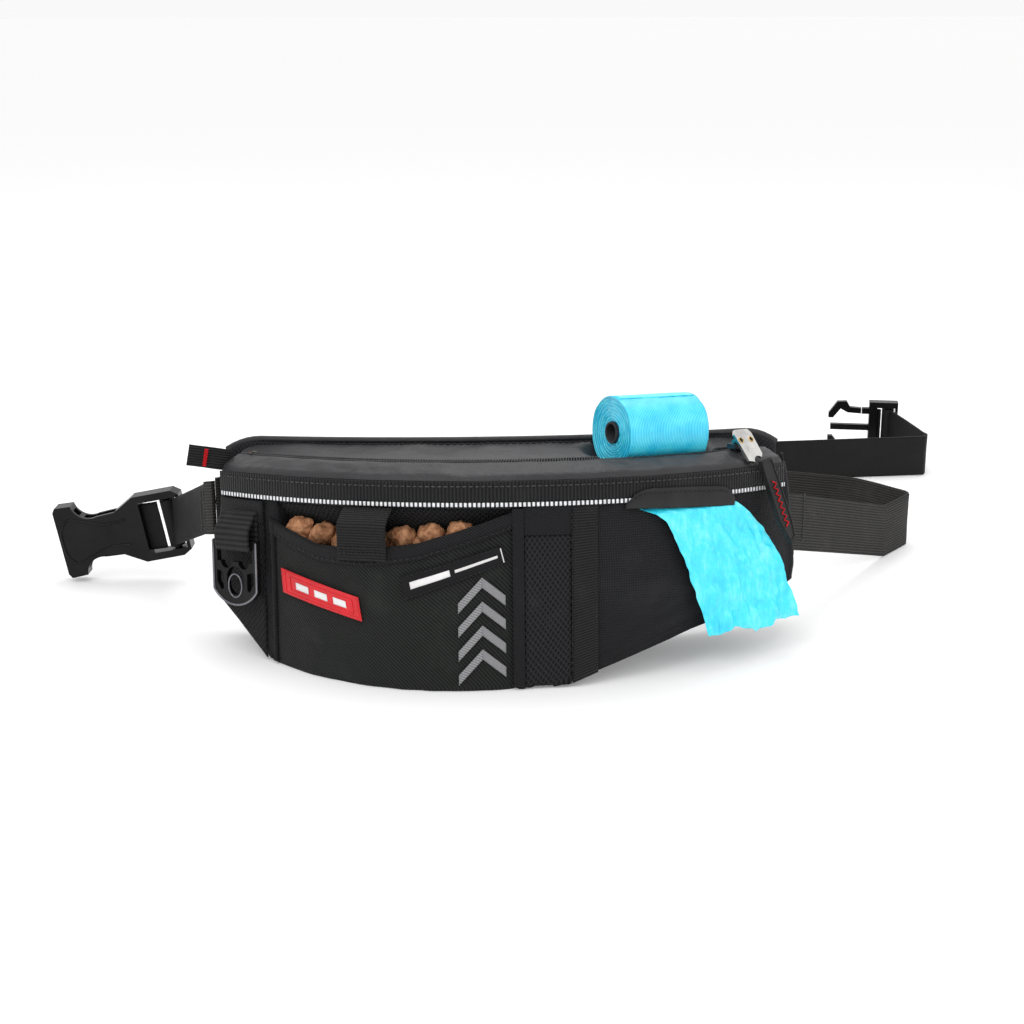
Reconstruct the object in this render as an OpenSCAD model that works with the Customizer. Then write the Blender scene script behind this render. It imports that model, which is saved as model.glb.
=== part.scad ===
// Waist-worn dog treat pouch: a curved zip bag on an adjustable belt with a
// side-release buckle. All lengths are millimetres. +Z is up, -Y is the front
// and the origin lies on the floor under the middle of the bag. The bag leans
// back by a few degrees, so most of it is drawn upright and tilted at the end.

/* [Bag shape] */
// Backward lean of the whole bag
lean = 9; // [4:0.5:12]
// Outer radius of the curved front wall
front_r = 230; // [228:1:234]
// How far the front wall stands before the origin
front_v = 34; // [33:0.5:35]
// Radius of the curved face of the back panel
back_r = 392; // [380:2:410]
// How far that face stands behind the origin at its middle
back_v = 36; // [35:0.5:38]
// Thickness of the padded back panel
back_t = 6; // [5:0.5:8]
// Height of the back panel above the base
back_w = 133.5; // [132:0.5:135]
// Thickness of the outer fabric walls
wall_t = 2.5; // [2:0.1:3]

/* [Zip] */
// Radius of the line the zip runs on
zip_r = 215; // [214:0.5:216]
// Height of the zip above the base
zip_w = 125; // [124.5:0.5:126]
// Angle of the slider from the middle of the bag
slider_a = 39; // [38:0.5:40]
// Width of the puller plate
plate_w = 16; // [14:1:18]
// Length of the rubber pull tab
tab_l = 54; // [45:1:55]
// Width of the rubber pull tab
tab_w = 12; // [10:1:13]

/* [Front trim] */
// Height of the lower edge of the ribbed band
band_w0 = 104; // [103:0.5:105]
// Height of the upper edge of the ribbed band
band_w1 = 116; // [115:0.5:117]
// Thickness of sewn-on tapes
tape_t = 1.2; // [0.8:0.1:1.4]

/* [Treat pocket] */
// Radius of the bulging pocket front
pocket_r = 150; // [146:1:154]
// Thickness of the pocket fabric
pocket_t = 1.8; // [1.4:0.1:2.2]
// Radius of the mesh wall at the back of the pocket
liner_r = 206; // [202:1:210]
// Diameter of one piece of kibble
kibble_d = 15; // [12:0.5:16]

/* [Bag roll] */
// Diameter of a roll of bags
roll_d = 44; // [38:1:44]
// Length of a roll of bags
roll_l = 57; // [52:1:58]
// Diameter of the partly used roll inside
feed_d = 34; // [26:1:36]
// Outer diameter of the roll core
core_d = 13; // [11:0.5:15]

/* [Belt] */
// Width of the ribbed elastic
elastic_w = 38; // [34:1:38]
// Width of the belt webbing
webbing_w = 33; // [30:1:34]
// Thickness of elastic and webbing
belt_t = 2; // [1.6:0.1:2.4]

/* [Hidden] */

// Centre of the front arc and of the back arc, behind the origin
front_c = front_r - front_v;
back_c = back_r + back_v;
// Size of cutting blocks that reach past everything
big = 900;
// Left and right ends of the sewn front trim, as angles
left_a = -50.4;
right_a = 46;
// Left and right seams of the treat pocket, as angles
pocket_a0 = -38.5;
pocket_a1 = -1.5;
// Centre of the pocket front arc
pocket_c = [-30.6, 113.7];
// Outline of the bag seen from the front, anticlockwise from the lower left
outline = [
    [-136, -14], [0, -14], [44, 3], [107, 24], [175, 41], [178, 54], [169.5, 112],
    [167, 126], [158, 134.5], [-176, 134.5], [-178, 104], [-184, 64],
    [-180, 37], [-168, 25], [-153, 8]
];
// Shift of the rear zip edge away from the front one
spread = [-3.4, 9.4, 0];
// Middle height that the inner outline shrinks towards
mid_w = 66;
// Roll position: middle of its length, turn from +X and height of its axis
roll_at = [82, 22.8, 138.5];
roll_turn = 24.5;
// Second roll, lying inside behind the dispenser
feed_at = [84, 14, 48];
feed_turn = 24;

// Tilts the upright bag back onto its base
module leaned() {
    rotate([-lean, 0, 0])
        children();
}

// Removes everything below the floor
module above_floor() {
    difference() {
        children();
        translate([-big / 2, -big / 2, -big])
            cube([big, big, big]);
    }
}

// Sector of a ring around the front arc centre, between two angles
module arc_band(r0, r1, w0, w1, a0, a1) {
    translate([0, front_c, 0])
        rotate([0, 0, a0 - 90])
            rotate_extrude(angle = a1 - a0, $fn = 360)
                translate([r0, w0])
                    square([r1 - r0, w1 - w0]);
}

// Sector swept by a section given as radius and height points
module arc_section(points, a0, a1) {
    translate([0, front_c, 0])
        rotate([0, 0, a0 - 90])
            rotate_extrude(angle = a1 - a0, $fn = 360)
                polygon(points);
}

// Moves to a place on the front arc: x along the wall, -y outward, z up
module on_arc(a, r) {
    translate([0, front_c, 0])
        rotate([0, 0, a])
            translate([0, -r, 0])
                children();
}

// Upright round column centred on the front arc centre
module front_column(r) {
    translate([0, front_c, -100])
        cylinder(h = 400, r = r, $fn = 360);
}

// Upright round column centred on the back arc centre
module back_column(r) {
    translate([0, back_c, -100])
        cylinder(h = 400, r = r, $fn = 360);
}

// Prism of the front-view outline, shrunk by an inset on every side
module outline_prism(inset = 0) {
    kx = 1 - inset / 180;
    kw = 1 - inset / 72;
    translate([0, 160, 0])
        rotate([90, 0, 0])
            linear_extrude(height = 320)
                polygon([for (p = outline) [p[0] * kx, mid_w + (p[1] - mid_w) * kw]]);
}

// Half-space block to the right of x0
module right_of(x0) {
    translate([x0, -big / 2, -big / 2])
        cube([big, big, big]);
}

// Padded panel that rests against the wearer
module back_panel() {
    dip_r = 170;
    dip = 7.5;
    color("dimgray")
        above_floor()
            leaned()
                difference() {
                    intersection() {
                        outline_prism();
                        back_column(back_r);
                        translate([-big / 2, -big / 2, -60])
                            cube([big, big, 60 + back_w]);
                    }
                    back_column(back_r - back_t);
                    translate([86, 200, back_w + dip_r - dip])
                        rotate([90, 0, 0])
                            cylinder(h = 300, r = dip_r, $fn = 180);
                    // hollow pressed into the padding by the roll
                    translate(roll_at)
                        rotate([0, 0, roll_turn])
                            rotate([0, 90, 0])
                                cylinder(h = roll_l + 6, d = roll_d + 2, center = true, $fn = 96);
                }
}

// Curved front wall with the window behind the treat pocket
module front_shell() {
    color("black")
        above_floor()
            leaned()
                difference() {
                    intersection() {
                        outline_prism();
                        front_column(front_r);
                        translate([-big / 2, -big / 2, -60])
                            cube([big, 100 + big / 2, 60 + band_w1]);
                    }
                    front_column(front_r - wall_t);
                    back_column(back_r + 1);
                    arc_band(front_r - 10, front_r + 10, -40, 100,
                        pocket_a0 + 0.2, pocket_a1 - 0.2);
                    dispenser_slot();
                }
}

// Slot behind the lip through which the bags are drawn
module dispenser_slot() {
    arc_band(front_r - 10, front_r + 10, 92.5, 98.5, 19.4, 36);
}

// Curved base that joins the front wall to the back panel
module base_panel() {
    color("black")
        above_floor()
            leaned()
                difference() {
                    intersection() {
                        outline_prism();
                        front_column(front_r - wall_t);
                        translate([-166, -200, -40])
                            cube([332, 400, 100]);
                    }
                    back_column(back_r);
                    base_hollow();
                    liner_block(0.2);
                }
}

// Room above the base panel, flat over the floor
module base_hollow() {
    intersection() {
        outline_prism(3);
        rotate([lean, 0, 0])
            translate([-big / 2, -big / 2, 3])
                cube([big, big, big]);
    }
}

// Space taken by the treat pocket liner
module liner_block(extra) {
    arc_band(liner_r - 1.6 - extra, front_r + 20, -60, 101.2,
        pocket_a0 - extra / 3, pocket_a1 + extra / 3);
}

// End wall at the wearer's right hip
module left_gusset() {
    color("black")
        leaned()
            difference() {
                gusset_ring();
                right_of(-166);
            }
}

// End wall at the wearer's left hip
module right_gusset() {
    color("black")
        leaned()
            intersection() {
                gusset_ring();
                right_of(166);
            }
}

// Strip that runs around the outline between front and back
module gusset_ring() {
    difference() {
        intersection() {
            outline_prism();
            front_column(front_r - wall_t);
            translate([-big / 2, -big / 2, 20])
                cube([big, big, zip_w - 21]);
        }
        back_column(back_r);
        outline_prism(3);
    }
}

// Coated panel from the top of the back down to the rear zip edge
module rear_lip() {
    slope = 0.13;
    depth = 60;
    color("darkslategray")
        leaned()
            difference() {
                union() {
                    intersection() {
                        arc_section([
                            [zip_r - 1, zip_w - 0.6],
                            [zip_r - 1, zip_w + 0.8],
                            [zip_r - depth, zip_w + 0.8 + slope * depth],
                            [zip_r - depth, zip_w - 0.6 + slope * depth]
                        ], left_a, right_a + 3);
                        outline_prism(0.4);
                    }
                    intersection() {
                        difference() {
                            back_column(back_r + 1.6);
                            back_column(back_r);
                        }
                        outline_prism(0.4);
                        translate([-big / 2, -big / 2, zip_w - 0.6])
                            cube([big, big, back_w - zip_w - 0.4]);
                        front_column(zip_r - 1);
                    }
                }
                back_column(back_r);
                difference() {
                    front_column(front_r);
                    translate(spread)
                        front_column(zip_r - 1);
                }
                roll_room();
            }
}

// Clear space in which the roll of bags sits
module roll_room() {
    translate([roll_at[0], roll_at[1], 0])
        rotate([0, 0, roll_turn])
            translate([-(roll_l / 2 + 3), -(roll_d / 2 + 1.2), 80])
                cube([roll_l + 6, roll_d + 2.4, 90]);
}

// Sloping coated tape along the front of the zip
module front_zip_tape() {
    color("dimgray")
        leaned()
            difference() {
                arc_section([
                    [zip_r + 0.6, zip_w - 1.4],
                    [zip_r + 0.6, zip_w],
                    [front_r - 3, band_w1 + 4.6],
                    [front_r, band_w1 + 0.1],
                    [front_r - 1.5, band_w1 + 0.1],
                    [front_r - 4.2, band_w1 + 3.4]
                ], left_a, right_a);
                back_column(back_r);
            }
}

// Front row of coil teeth
module front_zip_coil() {
    color("black")
        leaned()
            difference() {
                arc_band(zip_r - 0.9, zip_r + 0.6, zip_w - 1, zip_w + 0.7, left_a, 43);
                back_column(back_r + 2);
            }
}

// Rear row of coil teeth, spread away from the front row
module rear_zip_coil() {
    color("black")
        leaned()
            difference() {
                translate([spread[0], spread[1] + front_c, zip_w - 0.9])
                    rotate([0, 0, left_a - 90])
                        rotate_extrude(angle = 92, $fn = 360)
                            translate([zip_r - 1, 0])
                                square([1.4, 1.7]);
                back_column(back_r + 1.6);
                roll_room();
            }
}

// Stops that close the two ends of the zip
module zip_stops() {
    color("gray")
        leaned()
            for (a = [-47.6, 43.6])
                on_arc(a, zip_r)
                    translate([-1.2, -2.2, zip_w + 0.8])
                        cube([2.4, 4.4, 1.8]);
}

// Slider that rides along the coil
module zip_slider() {
    color("silver")
        leaned()
            on_arc(slider_a, zip_r)
                difference() {
                    union() {
                        translate([-6, -4.7, zip_w + 1.2])
                            cube([12, 6.5, 3]);
                        translate([-1.5, -4.4, zip_w + 4.2])
                            cube([3, 5, 3.2]);
                    }
                    translate([-10, -2.2, zip_w + 5.4])
                        rotate([0, 90, 0])
                            cylinder(h = 20, r = 1.5, $fn = 32);
                }
}

// Frame of the puller plate: hinge line on the slider, x across, z down the plate
module puller_frame() {
    on_arc(slider_a, zip_r)
        translate([0, -2.2, zip_w + 5.4])
            rotate([-36, 0, 0])
                children();
}

// Chromed puller plate with two holes and a crescent end
module puller_plate() {
    eye_x = 4.6;
    color("gainsboro")
        leaned()
            puller_frame() {
                // pin held in the slider bridge
                translate([-5, 0, 0])
                    rotate([0, 90, 0])
                        cylinder(h = 10, r = 1.1, $fn = 32);
                for (x = [-5.2, 3.9])
                    translate([x, -2.6, -1.1])
                        cube([1.3, 3.2, 2.2]);
                difference() {
                    translate([0, -4, 0])
                        rotate([90, 0, 0])
                            linear_extrude(height = 1.6)
                                difference() {
                                    polygon([
                                        [-plate_w / 2 + 2, 5], [plate_w / 2 - 2, 5],
                                        [plate_w / 2, 2], [plate_w / 2, -13],
                                        [2.5, -19], [-plate_w / 2 + 1, -17],
                                        [-plate_w / 2, 2]
                                    ]);
                                    translate([2.5, -19])
                                        circle(r = 4.8, $fn = 48);
                                    for (x = [-eye_x, eye_x])
                                        translate([x, -2.5])
                                            circle(r = 2.1, $fn = 32);
                                }
                    translate([-1.9, -4.4, -1.8])
                        cube([3.8, 4.4, 3.6]);
                }
                for (x = [-5.2, 3.9])
                    translate([x, -4.1, -1.1])
                        cube([1.3, 2, 2.2]);
            }
}

// Rubber pull tab that hangs from the plate
module pull_tab() {
    color("black")
        leaned()
            on_arc(slider_a, zip_r)
                translate([3.5, -18.6, zip_w - 5])
                    rotate([-16, 0, 0])
                        rotate([0, -9, 0])
                            rotate([90, 0, 0])
                                linear_extrude(height = 2.4)
                                    polygon([
                                        [-tab_w / 2 + 0.8, 0], [tab_w / 2 - 0.8, 0],
                                        [tab_w / 2, -14], [tab_w / 2, -tab_l + 12],
                                        [tab_w / 2 - 2, -tab_l + 2],
                                        [-1, -tab_l], [-tab_w / 2, -tab_l + 14],
                                        [-tab_w / 2, -8]
                                    ]);
}

// Short grip tab sewn to the left end of the zip
module zip_end_tab() {
    color("black")
        leaned()
            translate([-178.4, 58, 119])
                rotate([0, 10, 12])
                    translate([-22, -1, 0])
                        cube([22, 2, 14]);
}

// Ribbed band across the top of the front
module ribbed_band() {
    color("black")
        leaned()
            difference() {
                arc_band(front_r, front_r + tape_t, band_w0, band_w1, left_a, right_a);
                back_column(back_r);
            }
}

// Reflective cord sewn under the band
module reflective_piping() {
    color("whitesmoke")
        leaned()
            arc_band(front_r, front_r + 1.4, band_w0 - 2.8, band_w0, left_a, 41);
}

// Mesh liner: back wall, sloping top and side walls of the treat pocket
module liner_walls() {
    arc_section([
        [front_r, 99.8], [front_r, 98.2], [front_r - 2, 98.2], [liner_r, 76], [liner_r, -40],
        [liner_r - 1.4, -40], [liner_r - 1.4, 77], [front_r - 3.2, 99.8]
    ], pocket_a0 + 0.4, pocket_a1 - 0.4);
}

// Side wall of the liner, at the given angle
module liner_side(a) {
    on_arc(a, 0)
        rotate([90, 0, 90])
            translate([0, 0, -0.7])
                linear_extrude(height = 1.4)
                    polygon([
                        [-front_r + 0.2, -40], [-front_r + 0.2, 98], [-front_r + 2.6, 98],
                        [-liner_r - 0.3, 75.2], [-liner_r - 0.3, -40]
                    ]);
}

// Thin cloth inside the pocket: a curved back wall, a floor and two ends
module pocket_liner() {
    color("dimgray")
        above_floor()
            leaned() {
                liner_walls();
                liner_side(pocket_a0 + 0.7);
                liner_side(pocket_a1 - 0.7);
            }
}

// Upright column through the pocket front arc
module pocket_column(r) {
    translate([pocket_c[0], pocket_c[1], -60])
        cylinder(h = 260, r = r, $fn = 360);
}

// Everything below the dipped mouth line of the treat pocket
module mouth_cut(drop = 0) {
    translate([0, 120, 0])
        rotate([90, 0, 0])
            linear_extrude(height = 240)
                polygon([
                    [-153, -30], [8, -30], [8, 100 - drop], [-4, 98 - drop],
                    [-24, 91.5 - drop], [-60, 80.5 - drop], [-92, 76 - drop],
                    [-118, 77.5 - drop], [-136, 84.5 - drop], [-153, 93 - drop]
                ]);
}

// Curved bulge shared by the pocket front and its binding
module pocket_ring(r0, r1) {
    intersection() {
        difference() {
            pocket_column(r1);
            pocket_column(r0);
            front_column(front_r + 0.05);
        }
        outline_prism();
        translate([-148.5, -120, -60])
            cube([148.5, 160, 200]);
    }
}

// Bulging front of the treat pocket with its floor
module treat_pocket() {
    color("black")
        above_floor()
            leaned()
                intersection() {
                    union() {
                        pocket_ring(pocket_r - pocket_t, pocket_r);
                        intersection() {
                            pocket_floor();
                            outline_prism();
                        }
                    }
                    mouth_cut();
                }
}

// Floor of the treat pocket between its front and the mesh wall
module pocket_floor() {
    intersection() {
        difference() {
            arc_band(liner_r + 0.1, front_r + 12, -40, 40, pocket_a0 + 1, pocket_a1 - 1);
            rotate([lean, 0, 0])
                translate([-big / 2, -big / 2, 2.4])
                    cube([big, big, big]);
        }
        pocket_column(pocket_r - pocket_t);
    }
}

// Twill tape folded over the pocket mouth
module pocket_binding() {
    color("black")
        leaned()
            difference() {
                intersection() {
                    pocket_ring(pocket_r, pocket_r + tape_t);
                    mouth_cut();
                }
                mouth_cut(9);
            }
}

// Woven tab that bridges the pocket mouth
module closure_tab() {
    color("black")
        leaned()
            on_arc(-22.6, front_r)
                rotate([90, 0, 90])
                    translate([0, 0, -15.5])
                        linear_extrude(height = 31)
                            polygon([
                                [-0.5, 100], [-2.1, 100], [-11.4, 91.5], [-11.4, 70],
                                [-10.1, 70], [-10.1, 91], [-1.6, 98.8], [-0.5, 98.8]
                            ]);
}

// Pieces of baked kibble in the pocket mouth
module kibble() {
    color("peru")
        leaned()
            for (k = [
                [-35.2, 224, 84], [-31.4, 221.5, 80], [-28.4, 216, 74], [-17.8, 220.4, 80],
                [-13.6, 221.2, 81], [-9.2, 224, 84], [-21.8, 216, 74], [-25.1, 224, 84]
            ])
                on_arc(k[0], k[1])
                    translate([0, 0, k[2]])
                        sphere(d = kibble_d * 0.92, $fn = 48);
}

// Woven side panel left of the treat pocket
module side_panel() {
    color("black")
        above_floor()
            leaned()
                intersection() {
                    arc_band(front_r, front_r + 1.4, -30, 86.8, left_a - 1.6, -40.9);
                    outline_prism();
                }
}

// Twill band on the mouth of the side panel
module side_band() {
    color("black")
        leaned()
            intersection() {
                arc_band(front_r, front_r + 2.2, 87, 100, left_a, -40.9);
                outline_prism();
            }
}

// Round cord sewn beside the treat pocket
module side_piping() {
    color("black")
        above_floor()
            leaned()
                intersection() {
                    on_arc(-40.35, front_r + 1.4)
                        translate([0, 0, -20])
                            cylinder(h = 114, r = 1.3, $fn = 32);
                    outline_prism();
                }
}

// Frame of the accessory ring: x across it, -y outward, z up from its bar
module ring_frame() {
    translate([-168.5, 27.1, 74])
        rotate([0, 0, -38])
            children();
}

// Webbing loop that carries the accessory ring
module ring_loop() {
    color("black")
        leaned()
            ring_frame()
                translate([-13.5, 0, 0])
                    rotate([90, 0, 90])
                        linear_extrude(height = 27)
                            difference() {
                                polygon([
                                    [-4.6, 0], [-4.6, 8], [2.4, 19.5], [4.6, 19.5],
                                    [4.6, 0], [3.3, -3.3], [0, -4.6], [-3.3, -3.3]
                                ]);
                                polygon([
                                    [-3.2, 0], [-3.2, 7.6], [1.8, 15.6], [3.2, 15.6],
                                    [3.2, 0], [2.3, -2.3], [0, -3.2], [-2.3, -2.3]
                                ]);
                            }
}

// Plastic ring with a webbing slot, a finger hole and two side windows
module accessory_ring() {
    color("black")
        leaned()
            ring_frame()
                translate([0, 1.8, 0])
                    rotate([90, 0, 0])
                        linear_extrude(height = 3.6)
                            difference() {
                                ring_outline();
                                ring_holes();
                            }
}

// Outer shape of the accessory ring
module ring_outline() {
    translate([-17.4, -16])
        square([34.8, 18]);
    intersection() {
        translate([0, -15.9])
            circle(r = 21.5, $fn = 96);
        translate([-17.4, -40])
            square([34.8, 24.2]);
    }
}

// Openings of the accessory ring
module ring_holes() {
    // webbing slot, seven millimetres high under the bar
    translate([-14.2, -11])
        square([28.4, 9.2]);
    for (x = [-7.1, 7.1])
        translate([x, -11])
            circle(r = 4.2, $fn = 48);
    translate([0, -24.5])
        circle(r = 6.7, $fn = 64);
    translate([-6.7, -24.5])
        square([13.4, 4]);
    translate([0, -20.5])
        circle(r = 6.7, $fn = 64);
    for (s = [-1, 1])
        translate([s * 12.1, -22.4])
            polygon([
                [-s * 2.6, 4.6], [s * 2.6, 5.8], [s * 2.6, -1.5], [-s * 0.6, -6.5],
                [-s * 2.6, -5.5]
            ]);
}

// Mesh pocket to the right of the treat pocket
module mesh_pocket() {
    color("black")
        above_floor()
            leaned()
                intersection() {
                    arc_band(front_r, front_r + 1.2, -30, 84.8, 0, 6.9);
                    outline_prism();
                }
}

// Twill band on the mouth of the mesh pocket
module mesh_pocket_band() {
    color("black")
        leaned()
            arc_band(front_r, front_r + 1.8, 85, 101, 0, 6.9);
}

// Vertical ribbed tape beside the mesh pocket
module ribbed_tape() {
    color("black")
        above_floor()
            leaned()
                intersection() {
                    arc_band(front_r, front_r + 1.4, -30, 101, 7, 10.8);
                    outline_prism();
                }
}

// Folded strip that finishes the right seam of the treat pocket
module gusset_strip() {
    color("black")
        above_floor()
            leaned()
                intersection() {
                    arc_band(front_r, front_r + 2.4, -30, 87, -1.1, -0.1);
                    outline_prism();
                }
}

// Moulded lip over the bag dispenser slot
module dispenser_patch() {
    color("black")
        leaned()
            intersection() {
                arc_band(front_r + 1.5, front_r + 3.5, 95, 115, 12, 38);
                translate([0, 160, 0])
                    rotate([90, 0, 0])
                        linear_extrude(height = 320)
                            polygon([
                                [65.5, 99], [131, 99], [132, 104], [126, 110.5],
                                [74, 110.5], [66, 105.5]
                            ]);
            }
}

// Places a roll drawn along X about its middle
module roll_place(at, turn) {
    leaned()
        translate(at)
            rotate([0, 0, turn])
                rotate([0, 90, 0])
                    children();
}

// Roll of bags sitting in the open zip
module bag_roll() {
    color("deepskyblue")
        roll_place(roll_at, roll_turn)
            roll_body(roll_d);
}

// Wound film with a round hole for its core
module roll_body(d) {
    difference() {
        cylinder(h = roll_l, d = d, center = true, $fn = 96);
        cylinder(h = roll_l + 2, d = core_d + 0.1, center = true, $fn = 64);
    }
}

// Cardboard tube of a roll
module core_body() {
    difference() {
        cylinder(h = roll_l - 1, d = core_d, center = true, $fn = 64);
        cylinder(h = roll_l + 1, d = core_d - 2.4, center = true, $fn = 64);
    }
}

// Core of the roll in the zip
module roll_core() {
    color("dimgray")
        roll_place(roll_at, roll_turn)
            core_body();
}

// Roll inside the bag that feeds the dispenser
module feed_roll() {
    color("deepskyblue")
        roll_place(feed_at, feed_turn)
            roll_body(feed_d);
}

// Core of the inner roll
module feed_core() {
    color("dimgray")
        roll_place(feed_at, feed_turn)
            core_body();
}

// Bag drawn out of the dispenser and hanging down the front
module bag_tail() {
    color("cyan")
        leaned()
            intersection() {
                arc_section([
                    [front_r - 6, 97.6], [front_r + 2.4, 97.6], [front_r + 5.5, 92],
                    [front_r + 13, 10], [front_r + 11, 10], [front_r + 3.4, 90],
                    [front_r + 1.2, 95.4], [front_r - 6, 95.4]
                ], 19, 39);
                translate([0, 160, 0])
                    rotate([90, 0, 0])
                        linear_extrude(height = 320)
                            polygon([
                                [76, 101], [132, 101], [148, 74], [163, 27], [126, 12],
                                [100, 14], [90, 60]
                            ]);
            }
}

// Red rubber label on the pocket
module rubber_label() {
    color("red")
        leaned()
            intersection() {
                pocket_ring(pocket_r + 0.05, pocket_r + 1.8);
                translate([0, 120, 0])
                    rotate([90, 0, 0])
                        linear_extrude(height = 240)
                            polygon([[-140.5, 61.5], [-95, 48.5], [-93, 34.5], [-139.5, 47]]);
            }
}

// Folded woven label across the pocket corner
module woven_label() {
    color("black")
        leaned()
            intersection() {
                pocket_ring(pocket_r + 0.05, pocket_r + 1);
                translate([0, 120, 0])
                    rotate([90, 0, 0])
                        linear_extrude(height = 240)
                            polygon([[-70.5, 62], [-12, 79], [-9, 69.2], [-68, 48]]);
            }
}

// Printed reflective chevrons on the pocket
module reflective_print() {
    color("silver")
        leaned()
            intersection() {
                pocket_ring(pocket_r + 0.05, pocket_r + 0.4);
                translate([0, 120, 0])
                    rotate([90, 0, 0])
                        linear_extrude(height = 240)
                            for (w = [4, 16, 28])
                                polygon([
                                    [-38, w], [-24, w + 15], [-10.5, w + 4],
                                    [-10.5, w + 10], [-24, w + 21], [-38, w + 6]
                                ]);
            }
}

// Flat strap run in plan from a to b, with its own height at each end
module strap_run(a, b, z0, z1, width, t) {
    d = b - a;
    span = norm(d);
    translate([a[0], a[1], 0])
        rotate([0, 0, atan2(d[1], d[0])])
            translate([0, t / 2, 0])
                rotate([90, 0, 0])
                    linear_extrude(height = t)
                        polygon([
                            [0, z0], [span, z1], [span, z1 + width], [0, z0 + width]
                        ]);
}

// Where each strap leaves the bag
left_end = [-187.5, 87];
right_end = [181, 88];
// Corner of the left webbing at the buckle bar
left_bar = [-223, 176];

// Ribbed elastic stitched to the left end
module left_elastic() {
    color("black")
        strap_run(left_end, left_end + [-3.8, 9.2], 60, 57, 35, 3);
}

// Webbing between the left elastic and the buckle
module left_webbing() {
    color("black") {
        strap_run(left_end + [-4, 9.7], left_bar + [1.9, -4.8], 57.6, 25.2, webbing_w, belt_t);
        buckle_frame()
            webbing_sleeve();
    }
}

// Webbing wrapped round a buckle bar
module webbing_sleeve() {
    difference() {
        cylinder(h = webbing_w + 1, r = 5.3, center = true, $fn = 64);
        cylinder(h = webbing_w + 2, r = 3.1, center = true, $fn = 64);
    }
}

// Frame of the female buckle: x runs from its bar to its mouth
module buckle_frame() {
    translate([left_bar[0], left_bar[1], 41.5])
        rotate([0, 0, 175])
            rotate([0, 11, 0])
                children();
}

// Socket half of the side-release buckle
module female_buckle() {
    color("black")
        buckle_frame()
            difference() {
                union() {
                    rotate([90, 0, 0])
                        translate([0, 0, -6])
                            linear_extrude(height = 12)
                                female_outline();
                }
                // webbing window behind the bar
                translate([-7.4, -10, -18])
                    cube([26.1, 20, 36]);
                // socket for the prongs
                translate([32, -3.6, -15])
                    cube([60, 7.2, 30]);
                translate([60, -3.6, -21])
                    cube([30, 7.2, 42]);
                // side windows that let the prongs spring out
                for (s = [-1, 1])
                    translate([52, 0, s * 26])
                        rotate([90, 0, 0])
                            cylinder(h = 20, r = 12.2, center = true, $fn = 64);
            }
    color("black")
        buckle_frame()
            cylinder(h = 37, r = 2.6, center = true, $fn = 32);
}

// Side view of the socket half
module female_outline() {
    polygon([
        [-9.8, -19.6], [-9.8, 19.6], [-5, 23], [22, 23], [36, 15], [54, 14], [64, 24.5],
        [75, 25], [77, 22], [77, -22], [75, -25], [64, -24.5], [54, -14], [36, -15],
        [22, -23], [-4, -23]
    ]);
}

// Turn in which the webbing comes back, seen from above
turn_c = [220, 342];
turn_r = 50;
// Corners of the right belt in plan, seen from above
elastic_path = [right_end, [290, 216], [293, 224], [268.5, 262], [214, 289.5]];
webbing_path = concat(
    [for (a = [268:-8.9:90]) turn_c + turn_r * [cos(a), sin(a)]],
    [[357, 401.5], [363, 409], [351.6, 466.2]]
);
// Place of the bar of the plug half
plug_at = [350.5, 471, 23];

// Direction square to a part of a path
function strap_normal(p, i) =
    let(d = p[i + 1] - p[i])
    [-d[1], d[0]] / norm(d);

// Path shifted sideways by h, mitred at its corners
function strap_side(p, h) = [
    for (i = [0:len(p) - 1])
        let(m = strap_normal(p, max(i - 1, 0)) + strap_normal(p, min(i, len(p) - 2)))
        p[i] + m * (2 * h / (m * m))
];

// Upright strap along a path, whose side view gives its height at each y
module path_strap(p, side_view) {
    back_side = strap_side(p, -belt_t / 2);
    last = len(p) - 1;
    intersection() {
        linear_extrude(height = 100)
            polygon(concat(
                strap_side(p, belt_t / 2),
                [for (i = [last:-1:0]) back_side[i]]
            ));
        rotate([90, 0, 90])
            linear_extrude(height = big)
                polygon(side_view);
    }
}

// Ribbed elastic from the bag to its first fold and back
module right_elastic() {
    rise = 43 / (elastic_path[1][1] - right_end[1]);
    y0 = right_end[1] - 8;
    y1 = elastic_path[1][1];
    color("black")
        path_strap(elastic_path, [
            [y0, rise * (y1 - y0)], [y1, 0], [y1 + 90, 0], [y1 + 90, elastic_w],
            [y1, elastic_w], [y0, elastic_w + rise * (y1 - y0)]
        ]);
}

// Webbing from the elastic round to the plug half of the buckle
module right_webbing() {
    y1 = 409;
    y2 = 480;
    rise = 6.5 / 57.2 * (y2 - y1);
    color("black") {
        path_strap(webbing_path, [
            [280, 0], [y1, 0], [y2, rise], [y2, rise + webbing_w], [y1, webbing_w],
            [280, webbing_w]
        ]);
        plug_frame()
            webbing_sleeve();
    }
}

// Frame of the plug half: x runs from its bar to the prong tips
module plug_frame() {
    translate(plug_at)
        rotate([0, 0, 168])
            children();
}

// Base and guide of the plug half
module male_buckle() {
    color("black")
        plug_frame() {
            difference() {
                translate([-8, -5, -22.8])
                    cube([24, 10, 45.6]);
                translate([-5.8, -10, -18])
                    cube([15, 20, 36]);
            }
            // round bar that the webbing wraps
            cylinder(h = 37, r = 2.6, center = true, $fn = 32);
            // middle guide
            translate([15, -2.5, -2.4])
                cube([33, 5, 4.8]);
            // roots that carry the prongs
            for (s = [-1, 1])
                translate([15, -2.5, s * 14.5 - 2.5])
                    cube([7, 5, 5]);
        }
}

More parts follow.
